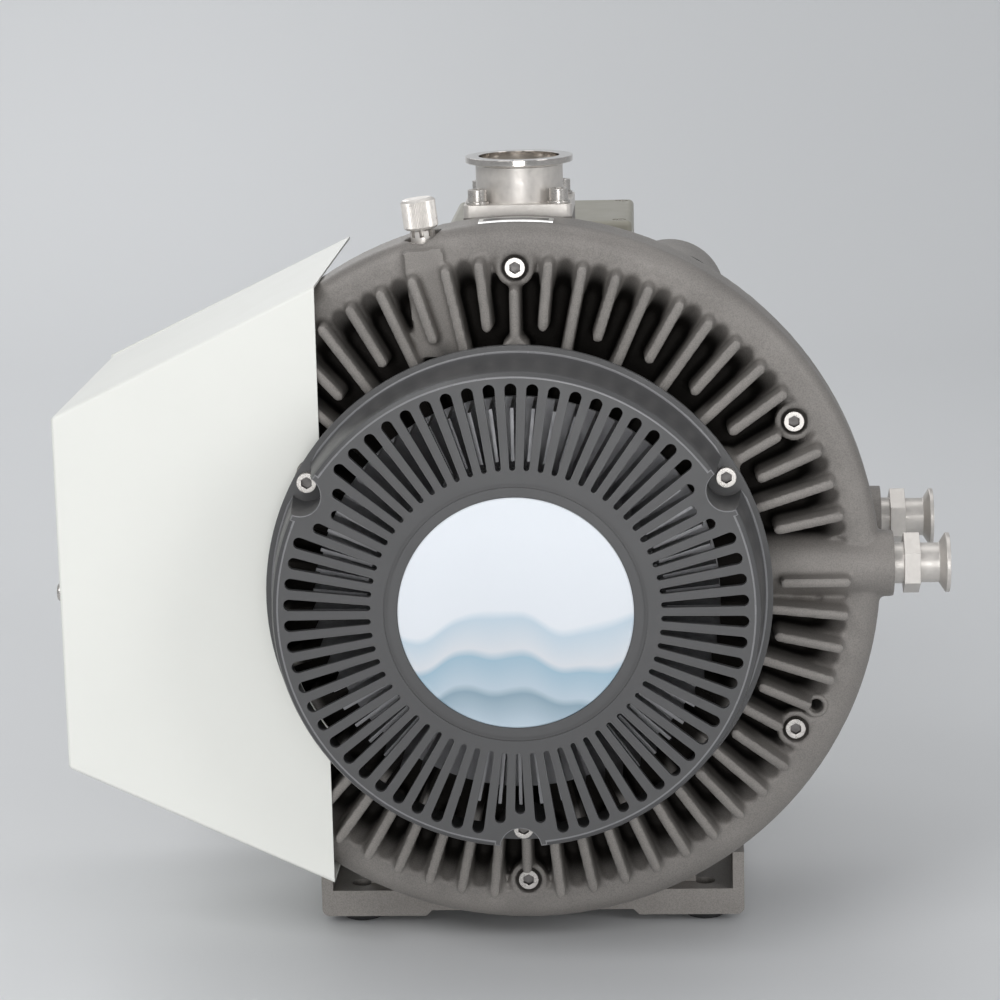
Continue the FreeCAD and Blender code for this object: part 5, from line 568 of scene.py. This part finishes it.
# %% Break the edges of the plain pieces
BROKEN_EDGES = [
    ("base", LIT_BASE_ALLOY, 1.6), ("rear_fixed_scroll", CAST_ALLOY, 1.0), ("casing_pads", CAST_ALLOY, 1.0),
    ("motor_adapter", MOTOR_PAINT, 0.9),
    ("motor_front_shield", MOTOR_PAINT, 0.9), ("motor_rear_shield", MOTOR_PAINT, 0.9),
    ("motor_foot", MOTOR_PAINT, 1.2), ("motor_frame", MOTOR_PAINT, 0.5), ("fan_cowl", MOTOR_PAINT, 0.5),
    ("terminal_box", MOTOR_PAINT, 1.2), ("terminal_lid", MOTOR_PAINT, 0.8),
    ("inlet_washers", SCREW_STEEL, 0.25), ("inlet_screws", SCREW_STEEL, 0.35),
    ("front_exhaust_fitting", FITTING_STEEL, 0.35), ("rear_exhaust_fitting", FITTING_STEEL, 0.35),
    ("side_cover_screws", SCREW_STEEL, 0.25), ("saddle_screws", SCREW_STEEL, 0.4),
    ("adapter_screws", SCREW_STEEL, 0.4), ("foot_screws", SCREW_STEEL, 0.4), ("lid_screws", SCREW_STEEL, 0.3),
    ("side_bracket", SHAFT_STEEL, 0.4), ("ballast_body", STAINLESS, 0.3), ("cable_gland", BLACK_PLASTIC, 0.5),
    ("rubber_feet", RUBBER, 0.8), ("fan_nut", SHAFT_STEEL, 0.5), ("crankshaft", SHAFT_STEEL, 0.4),
    ("front_counterweight", WEIGHT_PAINT, 0.6), ("front_fan", SHADED_FAN_ALLOY, 0.25),
]

for node_name, material, radius in BROKEN_EDGES:
    copy = merged_copy(node_name, "soft_" + node_name)
    round_edges(copy, radius)
    finish_piece(copy, material, node_name)
    print(node_name, len(copy.data.polygons), "faces")

# %% [markdown]
# ## The screws that face the viewer
# Six socket screws hold the casing together and three hold the fan cover. What tells the eye that
# they are socket screws is the dark hexagon in the middle of each bright head, where little light
# gets in. Each screw is a separate part of its mesh, so the parts are told apart by walking along
# the edges, and the faces that lie deep and near the middle of a head get the dark steel as painted
# shade.

# %% Paint shade into the sockets
SOCKET_REACH = 0.0031
SOCKET_DEPTH = 0.0004
SCREW_EDGE_MM = 0.35


def loose_parts(piece):
    """The faces of a mesh, sorted into the parts that hang together."""
    leader = list(range(len(piece.data.vertices)))

    def first(vertex):
        while leader[vertex] != vertex:
            vertex = leader[vertex]
        return vertex

    for edge in piece.data.edges:
        low, high = sorted((first(edge.vertices[0]), first(edge.vertices[1])))
        leader[high] = low
    parts = {}
    for face in piece.data.polygons:
        parts.setdefault(first(face.vertices[0]), []).append(face)
    return list(parts.values())


for node_name in ("casing_screws", "fan_cover_screws"):
    screws = merged_copy(node_name, "soft_" + node_name)
    round_edges(screws, SCREW_EDGE_MM)
    screws.data.materials.append(SCREW_STEEL)
    screws.data.materials.append(DARK_STEEL_AND_SOCKET_SHADE)
    parts = loose_parts(screws)
    for part in parts:
        front_y = min(face.center.y for face in part)
        head = [face.center for face in part if face.center.y < front_y + MM]
        middle_x = (min(c.x for c in head) + max(c.x for c in head)) / 2
        middle_z = (min(c.z for c in head) + max(c.z for c in head)) / 2
        # Painted shade: the socket's faces, deep and near the head's middle, get the dark steel.
        for face in part:
            reach = math.hypot(face.center.x - middle_x, face.center.z - middle_z)
            face.material_index = int(reach < SOCKET_REACH and face.center.y > front_y + SOCKET_DEPTH)
    finish_piece(screws, SCREW_STEEL, node_name)
    print(node_name, "has", len(parts), "screws")

# %% [markdown]
# ## The inner pieces
# What sits inside the casing and the motor, such as bearings, seals and the scroll itself, keeps its
# solid and only needs the right finish. It matters in a cutaway and when the pump is taken apart.

# %% Give the inner pieces their finish
INNER_FINISHES = {
    "casing_gasket": RUBBER, "shaft_seals": RUBBER, "inlet_o_ring": RUBBER,
    "fixed_tip_seals": SEAL_PLASTIC, "orbit_tip_seals": SEAL_PLASTIC, "coupling_spider": SEAL_PLASTIC,
    "main_bearings": SHAFT_STEEL, "pin_crank_bearings": SHAFT_STEEL, "orbit_bearings": SHAFT_STEEL,
    "motor_bearings": SHAFT_STEEL, "pin_crank_1": SHAFT_STEEL, "pin_crank_2": SHAFT_STEEL,
    "pin_crank_3": SHAFT_STEEL, "coupling_hubs": SHAFT_STEEL, "motor_shaft": SHAFT_STEEL,
    "rear_counterweight": WEIGHT_PAINT, "motor_stator": DARK_STEEL_AND_SOCKET_SHADE, "motor_rotor": DARK_STEEL_AND_SOCKET_SHADE,
    "motor_fan": BLACK_PLASTIC, "terminal_block": BLACK_PLASTIC, "orbiting_scroll": MACHINED_ALLOY,
    "inlet_strainer": STAINLESS, "ballast_plug": STAINLESS,
}
for node_name, material in INNER_FINISHES.items():
    frame["nodes"][node_name].data.materials.append(material)
    dressed.add(node_name)
print("dressed so far:", len(dressed), "of", len(frame["nodes"]))

# %% [markdown]
# ## The front casting
# The front casting is the face of the machine: a round rim with thin fins that stand up between it
# and the fan cover. In the mould, sand rounds every corner, inside corners most of all. Bevelling
# each of them is slow, because fins, bosses and rim meet in hundreds of places. Remeshing is
# quicker: it wraps the whole shape in an even skin of small squares, and a smoothing pass then melts
# the corners just as sand does. Last, the skin is thinned out to a set number of triangles. The
# spiral walls inside are machined sharp, so they are first cut out along a cylinder and kept as they
# are.

# %% Split the casting into its cast skin and its machined inside
CAST_VOXEL_MM = 1.25
CHAMBER_RADIUS_MM = 141.0
CUTTER_PLAY_MM = 0.2
CUTTER_SIDES = 160
CUTTER_FRONT_Y = casting_low.y + 51.5 * MM
CUTTER_BACK_Y = casting_high.y + 0.01
KEPT_FACES = 190000
FACE_ON = (math.radians(90.0), 0, 0)

bpy.ops.object.select_all(action="DESELECT")
bpy.ops.mesh.primitive_cylinder_add(
    vertices=CUTTER_SIDES, radius=(CHAMBER_RADIUS_MM - CUTTER_PLAY_MM) * MM,
    depth=CUTTER_BACK_Y - CUTTER_FRONT_Y,
    location=(AXIS.x, (CUTTER_FRONT_Y + CUTTER_BACK_Y) / 2, AXIS.z), rotation=FACE_ON)
chamber = bpy.context.object
chamber.name = "chamber_cutter"
bpy.ops.object.transform_apply(location=True, rotation=True, scale=True)
cast_skin = merged_copy("front_fixed_scroll", "front_casting")
apply_modifier(cast_skin, "BOOLEAN", operation="DIFFERENCE", object=chamber, solver="EXACT")
wraps = merged_copy("front_fixed_scroll", "front_wraps")
apply_modifier(wraps, "BOOLEAN", operation="INTERSECT", object=chamber, solver="EXACT")
bpy.data.objects.remove(chamber)
print("cast skin", len(cast_skin.data.polygons), "wraps", len(wraps.data.polygons))

# %% Remesh and soften the cast skin
apply_modifier(cast_skin, "REMESH", mode="VOXEL", voxel_size=CAST_VOXEL_MM * MM, adaptivity=0.0)
apply_modifier(cast_skin, "SMOOTH", factor=0.5, iterations=2)
triangles = 2 * len(cast_skin.data.polygons)
apply_modifier(cast_skin, "DECIMATE", ratio=min(1.0, KEPT_FACES / triangles))
finish_piece(cast_skin, SHADED_FRONT_ALLOY, "front_fixed_scroll", flat_sides=False)
bpy.ops.object.shade_smooth()
finish_piece(wraps, MACHINED_ALLOY, "front_fixed_scroll")
print("front casting:", len(cast_skin.data.polygons), "faces")

# %% [markdown]
# Round the small blind hole low on the right of the rim stands a cast ring. It is a torus pushed half
# into the skin. Rays sent at the casting from in front, all round the ring, tell how deep the skin
# lies there, and the middle one of their depths is taken.

# %% Add the ring round the blind hole
HOLE_ANGLE = math.radians(-24.4)
HOLE_CIRCLE = 0.1615
RING_RADIUS, RING_TUBE = 0.0048, 0.0014
RAY_START_Y = RIM_FACE_Y - 0.1
RAY_TURNS = range(0, 360, 30)
hole_x = AXIS.x + HOLE_CIRCLE * math.cos(HOLE_ANGLE)
hole_z = AXIS.z + HOLE_CIRCLE * math.sin(HOLE_ANGLE)
depths = []
for turn in RAY_TURNS:
    start = Vector((hole_x + RING_RADIUS * math.cos(math.radians(turn)), RAY_START_Y,
                    hole_z + RING_RADIUS * math.sin(math.radians(turn))))
    hit, place, _, _ = cast_skin.ray_cast(start, Vector((0.0, 1.0, 0.0)))
    if hit:
        depths.append(place.y)
skin_y = sorted(depths)[len(depths) // 2]
bpy.ops.object.select_all(action="DESELECT")
bpy.ops.mesh.primitive_torus_add(
    major_radius=RING_RADIUS, minor_radius=RING_TUBE, major_segments=48, minor_segments=16,
    location=(hole_x, skin_y, hole_z), rotation=FACE_ON)
ring = bpy.context.object
bpy.ops.object.transform_apply(location=True, rotation=True, scale=True)
bpy.ops.object.shade_smooth()
finish_piece(ring, SHADED_FRONT_ALLOY, "front_fixed_scroll")
print("ring at depth", round(skin_y * 1000, 2), "mm, rim face at", round(RIM_FACE_Y * 1000, 2), "mm")

# %% [markdown]
# ## The fan cover
# The cover is moulded in one piece and sprayed dark grey. What catches the light is the soft lip where
# its flat face turns down, along the rim and round the three screw pockets, and the fillet where its
# wall meets the flange. A highlight is painted on these: they get a paler, glossier paint than the
# rest. The lips lie in the face's own plane, outside the slots or on a pocket's edge, and the fillet
# lies on one circle, so both are found by their place. The bevel operator gives its new faces the
# second material, the painted highlight.

# %% Round the fan cover
LIP_MM = 0.9
LIP_TURN, STEP_TURN = 12.0, 40.0
FACE_MARGIN = 0.05 * MM
OUTSIDE_SLOTS = 0.1145
STEP_RADIUS, STEP_MARGIN = 0.1215, 0.4 * MM
STEP_BEHIND = 20.0 * MM
POCKET_RADIUS, POCKET_MARGIN = 0.010, 0.1 * MM
POCKET_CIRCLE = 0.1183
POCKET_ANGLES = (30.0, 150.0, 270.0)
cover_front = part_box("fan_cover")[0].y


def select_edges(piece, wanted):
    """Selects the edges for which wanted(its two ends, its two faces) holds, in edit mode."""
    pick(piece)
    bpy.ops.object.mode_set(mode="EDIT")
    bpy.ops.mesh.select_mode(type="EDGE")
    bpy.ops.mesh.select_all(action="DESELECT")
    bpy.ops.object.mode_set(mode="OBJECT")
    faces_of = {}
    for face in piece.data.polygons:
        for key in face.edge_keys:
            faces_of.setdefault(key, []).append(face)
    for edge in piece.data.edges:
        faces = faces_of.get(tuple(sorted(edge.vertices)), [])
        ends = [piece.data.vertices[v].co for v in edge.vertices]
        edge.select = len(faces) == 2 and wanted(ends, faces)
    bpy.ops.object.mode_set(mode="EDIT")


def off_axis(point):
    """The distance of a point from the shaft's axis."""
    return math.hypot(point.x - AXIS.x, point.z - AXIS.z)


def turns(faces, degrees):
    """Whether the surface turns by more than this many degrees from one face to the other."""
    return faces[0].normal.angle(faces[1].normal) > math.radians(degrees)


def by_pocket(point):
    """Whether a point of the face lies on the edge of one of the three screw pockets."""
    off = []
    for angle in POCKET_ANGLES:
        x = AXIS.x + POCKET_CIRCLE * math.cos(math.radians(angle))
        z = AXIS.z + POCKET_CIRCLE * math.sin(math.radians(angle))
        off.append(abs(math.hypot(point.x - x, point.z - z) - POCKET_RADIUS))
    return min(off) < POCKET_MARGIN


def is_lip(ends, faces):
    """Whether an edge is one of the lips round the flat face."""
    in_face = all(end.y < cover_front + FACE_MARGIN for end in ends)
    outside = all(off_axis(end) > OUTSIDE_SLOTS or by_pocket(end) for end in ends)
    return in_face and outside and turns(faces, LIP_TURN)


def is_step(ends, faces):
    """Whether an edge lies where the wall meets the flange."""
    behind = all(end.y > cover_front + STEP_BEHIND for end in ends)
    on_circle = all(abs(off_axis(end) - STEP_RADIUS) < STEP_MARGIN for end in ends)
    return behind and on_circle and turns(faces, STEP_TURN)


cover = merged_copy("fan_cover", "soft_fan_cover")
cover.data.materials.append(COVER_GREY)
# The second material is the painted highlight that the bevels below give their new faces.
cover.data.materials.append(COVER_PAINTED_HIGHLIGHT)
for name, wanted in (("lip", is_lip), ("step", is_step)):
    select_edges(cover, wanted)
    bpy.ops.mesh.bevel(offset=LIP_MM * MM, segments=3, affect="EDGES", clamp_overlap=True, material=1)
    bpy.ops.object.mode_set(mode="OBJECT")
    print(name, "faces:", sum(face.material_index == 1 for face in cover.data.polygons))
round_edges(cover, 0.45)
finish_piece(cover, COVER_GREY, "fan_cover")
print("fan cover:", len(cover.data.polygons), "faces")

# %% [markdown]
# ## The folded side cover
# Sheet steel folds round a bar, so each bend has an inside radius about as large as the sheet is
# thick. Only the bends between two wide panels get it, and the thin cut edges just lose their burr.
# The panels are told apart from the cut edges by their area.

# %% Fold the side cover
PANEL_AREA = 0.0004
BEND_RADIUS_MM = 1.9
BEND_TURN, CUT_EDGE_TURN = 20.0, 50.0


def is_bend(ends, faces):
    """Whether an edge lies between two wide panels."""
    return all(face.area > PANEL_AREA for face in faces) and turns(faces, BEND_TURN)


folded = merged_copy("side_cover", "soft_side_cover")
select_edges(folded, is_bend)
bpy.ops.mesh.bevel(offset=BEND_RADIUS_MM * MM, segments=4, affect="EDGES")
bpy.ops.object.mode_set(mode="OBJECT")
round_edges(folded, 0.25, sharper_than=CUT_EDGE_TURN)
finish_piece(folded, COVER_WHITE, "side_cover")
print("side cover:", len(folded.data.polygons), "faces")

# %% [markdown]
# ## The inlet
# The inlet is one turned and milled piece: a square plate, a short tube and a flange that a clamp
# grips. Only the flange is polished, so the faces above its underside get the second material.

# %% Polish the inlet's flange
FLANGE_DEPTH = 0.0075
inlet_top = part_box("inlet_flange")[1].z
inlet = merged_copy("inlet_flange", "soft_inlet_flange")
round_edges(inlet, 0.45)
inlet.data.materials.append(STAINLESS)
inlet.data.materials.append(POLISHED)
for face in inlet.data.polygons:
    face.material_index = int(face.center.z > inlet_top - FLANGE_DEPTH)
finish_piece(inlet, STAINLESS, "inlet_flange")
print("polished faces:", sum(face.material_index for face in inlet.data.polygons))

# %% [markdown]
# ## The knurled knob
# The gas-ballast valve is turned by hand, so its knob is knurled: a wheel rolls fine straight ridges
# into the side. A cylinder with many columns of faces becomes one when every second column of
# vertices is drawn in towards the axis. The valve leans a little towards the side cover, so the knob
# is made upright, where its rings are level, and tilted last.

# %% Turn the knob
KNURL_COUNT = 64
KNURL_DEPTH = 0.00030
KNOB_CHAMFER = 0.0011
KNOB_SKIRT = 0.004
CROWN_RISE = 0.4
CROWN_TAPER = 0.86
DISH_INSET = 0.30
SIDE_MARGIN = 0.0001
RIDGE_ANGLE = math.radians(14.0)
knob_low, knob_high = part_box("ballast_knob")
knob_middle = (knob_low + knob_high) / 2
lean_axis = Vector(next(j["axis"] for j in frame["joints"] if j["name"] == "ballast_turn"))
LEAN = math.atan2(lean_axis.x, lean_axis.z)
knob_radius = (knob_high.y - knob_low.y) / 2
knob_rise = knob_high.z - knob_low.z - 2 * knob_radius * abs(math.sin(LEAN))
knob_height = knob_rise / math.cos(LEAN) - KNOB_SKIRT
knob_base = knob_middle.z - knob_height / 2 + KNOB_SKIRT / 2
centre = (knob_middle.x, knob_middle.y, knob_base)

bpy.ops.object.select_all(action="DESELECT")
bpy.ops.mesh.primitive_circle_add(vertices=2 * KNURL_COUNT, radius=knob_radius - KNOB_CHAMFER,
                                  fill_type="NGON", location=centre)
knob = bpy.context.object
knob.name = "knurled_knob"
bpy.ops.object.transform_apply(location=True, rotation=True, scale=True)
bpy.ops.object.mode_set(mode="EDIT")
bpy.ops.mesh.select_mode(type="FACE")


def raise_ring(rise, growth):
    """Extrudes the selected ring upwards and scales it about the knob's axis."""
    bpy.ops.mesh.extrude_region_move(TRANSFORM_OT_translate={"value": (0, 0, rise)})
    bpy.ops.transform.resize(value=(growth, growth, 1.0), center_override=centre)


band_height = knob_height - (2 + CROWN_RISE) * KNOB_CHAMFER
raise_ring(KNOB_CHAMFER, knob_radius / (knob_radius - KNOB_CHAMFER))
raise_ring(band_height, 1.0)
raise_ring(KNOB_CHAMFER, 1.0 - KNOB_CHAMFER / knob_radius)
raise_ring(KNOB_CHAMFER * CROWN_RISE, CROWN_TAPER)
bpy.ops.mesh.inset(thickness=knob_radius * DISH_INSET)
bpy.ops.object.mode_set(mode="OBJECT")

# %% Press the ridges into its side and tilt it
bpy.ops.object.mode_set(mode="EDIT")
bpy.ops.mesh.select_mode(type="VERT")
bpy.ops.mesh.select_all(action="DESELECT")
bpy.ops.object.mode_set(mode="OBJECT")
for vertex in knob.data.vertices:
    offset = vertex.co - knob_middle
    turn = math.atan2(offset.y, offset.x) / (2 * math.pi) * 2 * KNURL_COUNT
    on_side = math.hypot(offset.x, offset.y) > knob_radius - SIDE_MARGIN
    vertex.select = on_side and round(turn) % 2 == 0
bpy.ops.object.mode_set(mode="EDIT")
groove_share = 1.0 - KNURL_DEPTH / knob_radius
bpy.ops.transform.resize(value=(groove_share, groove_share, 1.0), center_override=centre)
bpy.ops.mesh.select_all(action="SELECT")
bpy.ops.mesh.normals_make_consistent(inside=False)
bpy.ops.transform.rotate(value=-LEAN, orient_axis="Y", center_override=tuple(knob_middle))
bpy.ops.object.mode_set(mode="OBJECT")
finish_piece(knob, KNOB_STEEL, "ballast_knob")
bpy.ops.object.shade_smooth_by_angle(angle=RIDGE_ANGLE)
top_vertex = max(knob.data.vertices, key=lambda v: v.co.z).co
print("knob:", len(knob.data.polygons), "faces; its top is at x", round(top_vertex.x, 4))

# %% [markdown]
# ## The centre disc
# A glossy disc covers the middle of the fan cover. Its print here is a generic one of this lesson's
# own: pale bands that roll like far hills under a white sky. The disc itself is a thin lens, so that
# it mirrors the lamps in one broad soft patch.

# %% Mix the print and make the disc
SKY = (0.75, 0.785, 0.83)
HAZE = (0.47, 0.57, 0.65)
HILL = (0.24, 0.35, 0.43)
disc_low, disc_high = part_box("centre_disc")
disc_middle = (disc_low + disc_high) / 2
disc_radius = (disc_high.x - disc_low.x) / 2
HILLS_LOW, HILLS_HIGH = -0.035, 0.060
HILLS_ROLL = 0.055
DISC_SIDES = 128
DISC_CROWN = 0.0008
EDGE_RISE, EDGE_TAPER = 0.0005, 0.990
LENS_RISE, LENS_RINGS, LENS_INSET = 0.0001, 5, 0.17


def disc_print():
    """Bands of colour by height, whose edges roll with a stretched noise, under a clear coat."""
    finish = Finish("disc_print", metallic=0.0, roughness=0.16)
    finish.shader.inputs["Coat Weight"].default_value = 0.8
    finish.shader.inputs["Coat Roughness"].default_value = 0.05
    roll = finish.noise(52.0, detail=1.0, stretch=(1.0, 8.0, 3.0))
    shift = finish.nodes.new("ShaderNodeMath")
    shift.operation = "MULTIPLY_ADD"
    shift.inputs[1].default_value = HILLS_ROLL
    finish.links.new(roll, shift.inputs[0])
    finish.links.new(finish.along("Z"), shift.inputs[2])
    height = finish.nodes.new("ShaderNodeMapRange")
    height.inputs["From Min"].default_value = disc_middle.z + HILLS_LOW
    height.inputs["From Max"].default_value = disc_middle.z + HILLS_HIGH
    finish.links.new(shift.outputs[0], height.inputs["Value"])
    finish.colour(finish.ramp(height.outputs["Result"], [
        (0.00, HAZE), (0.16, HILL), (0.20, HAZE), (0.34, shade(HILL, 1.35)), (0.38, shade(SKY, 0.88)),
        (0.52, shade(HAZE, 1.08)), (0.56, SKY), (1.00, shade(SKY, 1.06))]))
    return finish.material


bpy.ops.object.select_all(action="DESELECT")
bpy.ops.mesh.primitive_circle_add(vertices=DISC_SIDES, radius=disc_radius, fill_type="NGON",
                                  location=(disc_middle.x, disc_high.y, disc_middle.z), rotation=FACE_ON)
disc = bpy.context.object
disc.name = "printed_disc"
bpy.ops.object.transform_apply(location=True, rotation=True, scale=True)
bpy.ops.object.mode_set(mode="EDIT")
bpy.ops.mesh.select_mode(type="FACE")
disc_wall = disc_high.y - disc_low.y - DISC_CROWN
bpy.ops.mesh.extrude_region_move(TRANSFORM_OT_translate={"value": (0, -disc_wall, 0)})
bpy.ops.mesh.extrude_region_move(TRANSFORM_OT_translate={"value": (0, -EDGE_RISE, 0)})
bpy.ops.transform.resize(value=(EDGE_TAPER, 1.0, EDGE_TAPER), center_override=tuple(disc_middle))
for step in range(LENS_RINGS):
    bpy.ops.mesh.inset(thickness=disc_radius * LENS_INSET)
    bpy.ops.transform.translate(value=(0, -LENS_RISE / (step + 2), 0))
bpy.ops.mesh.select_all(action="SELECT")
bpy.ops.mesh.normals_make_consistent(inside=False)
bpy.ops.object.mode_set(mode="OBJECT")
finish_piece(disc, disc_print(), "centre_disc")
print("disc is", round(2000 * disc_radius, 1), "mm across")

# %% [markdown]
# ## The nameplate
# A thin plate lies on top of the rim. It stays bare here: a bright border round a darker field, which
# the finish paints by place.

# %% Mix the nameplate's finish
PLATE_BORDER = 0.0022
BORDER_COLOUR, FIELD_COLOUR = (0.66, 0.66, 0.65), (0.10, 0.10, 0.105)
plate_low, plate_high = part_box("nameplate")


def plate_print():
    """A border and a field, told apart by how far a point lies from the plate's middle."""
    finish = Finish("nameplate_metal", metallic=0.9, roughness=0.35)
    within = []
    for axis, low, high in (("X", plate_low.x, plate_high.x), ("Y", plate_low.y, plate_high.y)):
        near = finish.nodes.new("ShaderNodeMath")
        near.operation = "COMPARE"
        near.inputs[1].default_value = (low + high) / 2
        near.inputs[2].default_value = (high - low) / 2 - PLATE_BORDER
        finish.links.new(finish.along(axis), near.inputs[0])
        within.append(near.outputs[0])
    field = finish.join("MULTIPLY", *within)
    finish.colour(finish.ramp(field, [(0.4, BORDER_COLOUR), (0.6, FIELD_COLOUR)]))
    finish.raise_grain(finish.noise(0.8, stretch=(12.0, 1.0, 1.0)), 0.02, 0.5)
    return finish.material


frame["nodes"]["nameplate"].data.materials.append(plate_print())
dressed.add("nameplate")
print("left bare:", sorted(set(frame["nodes"]) - dressed))
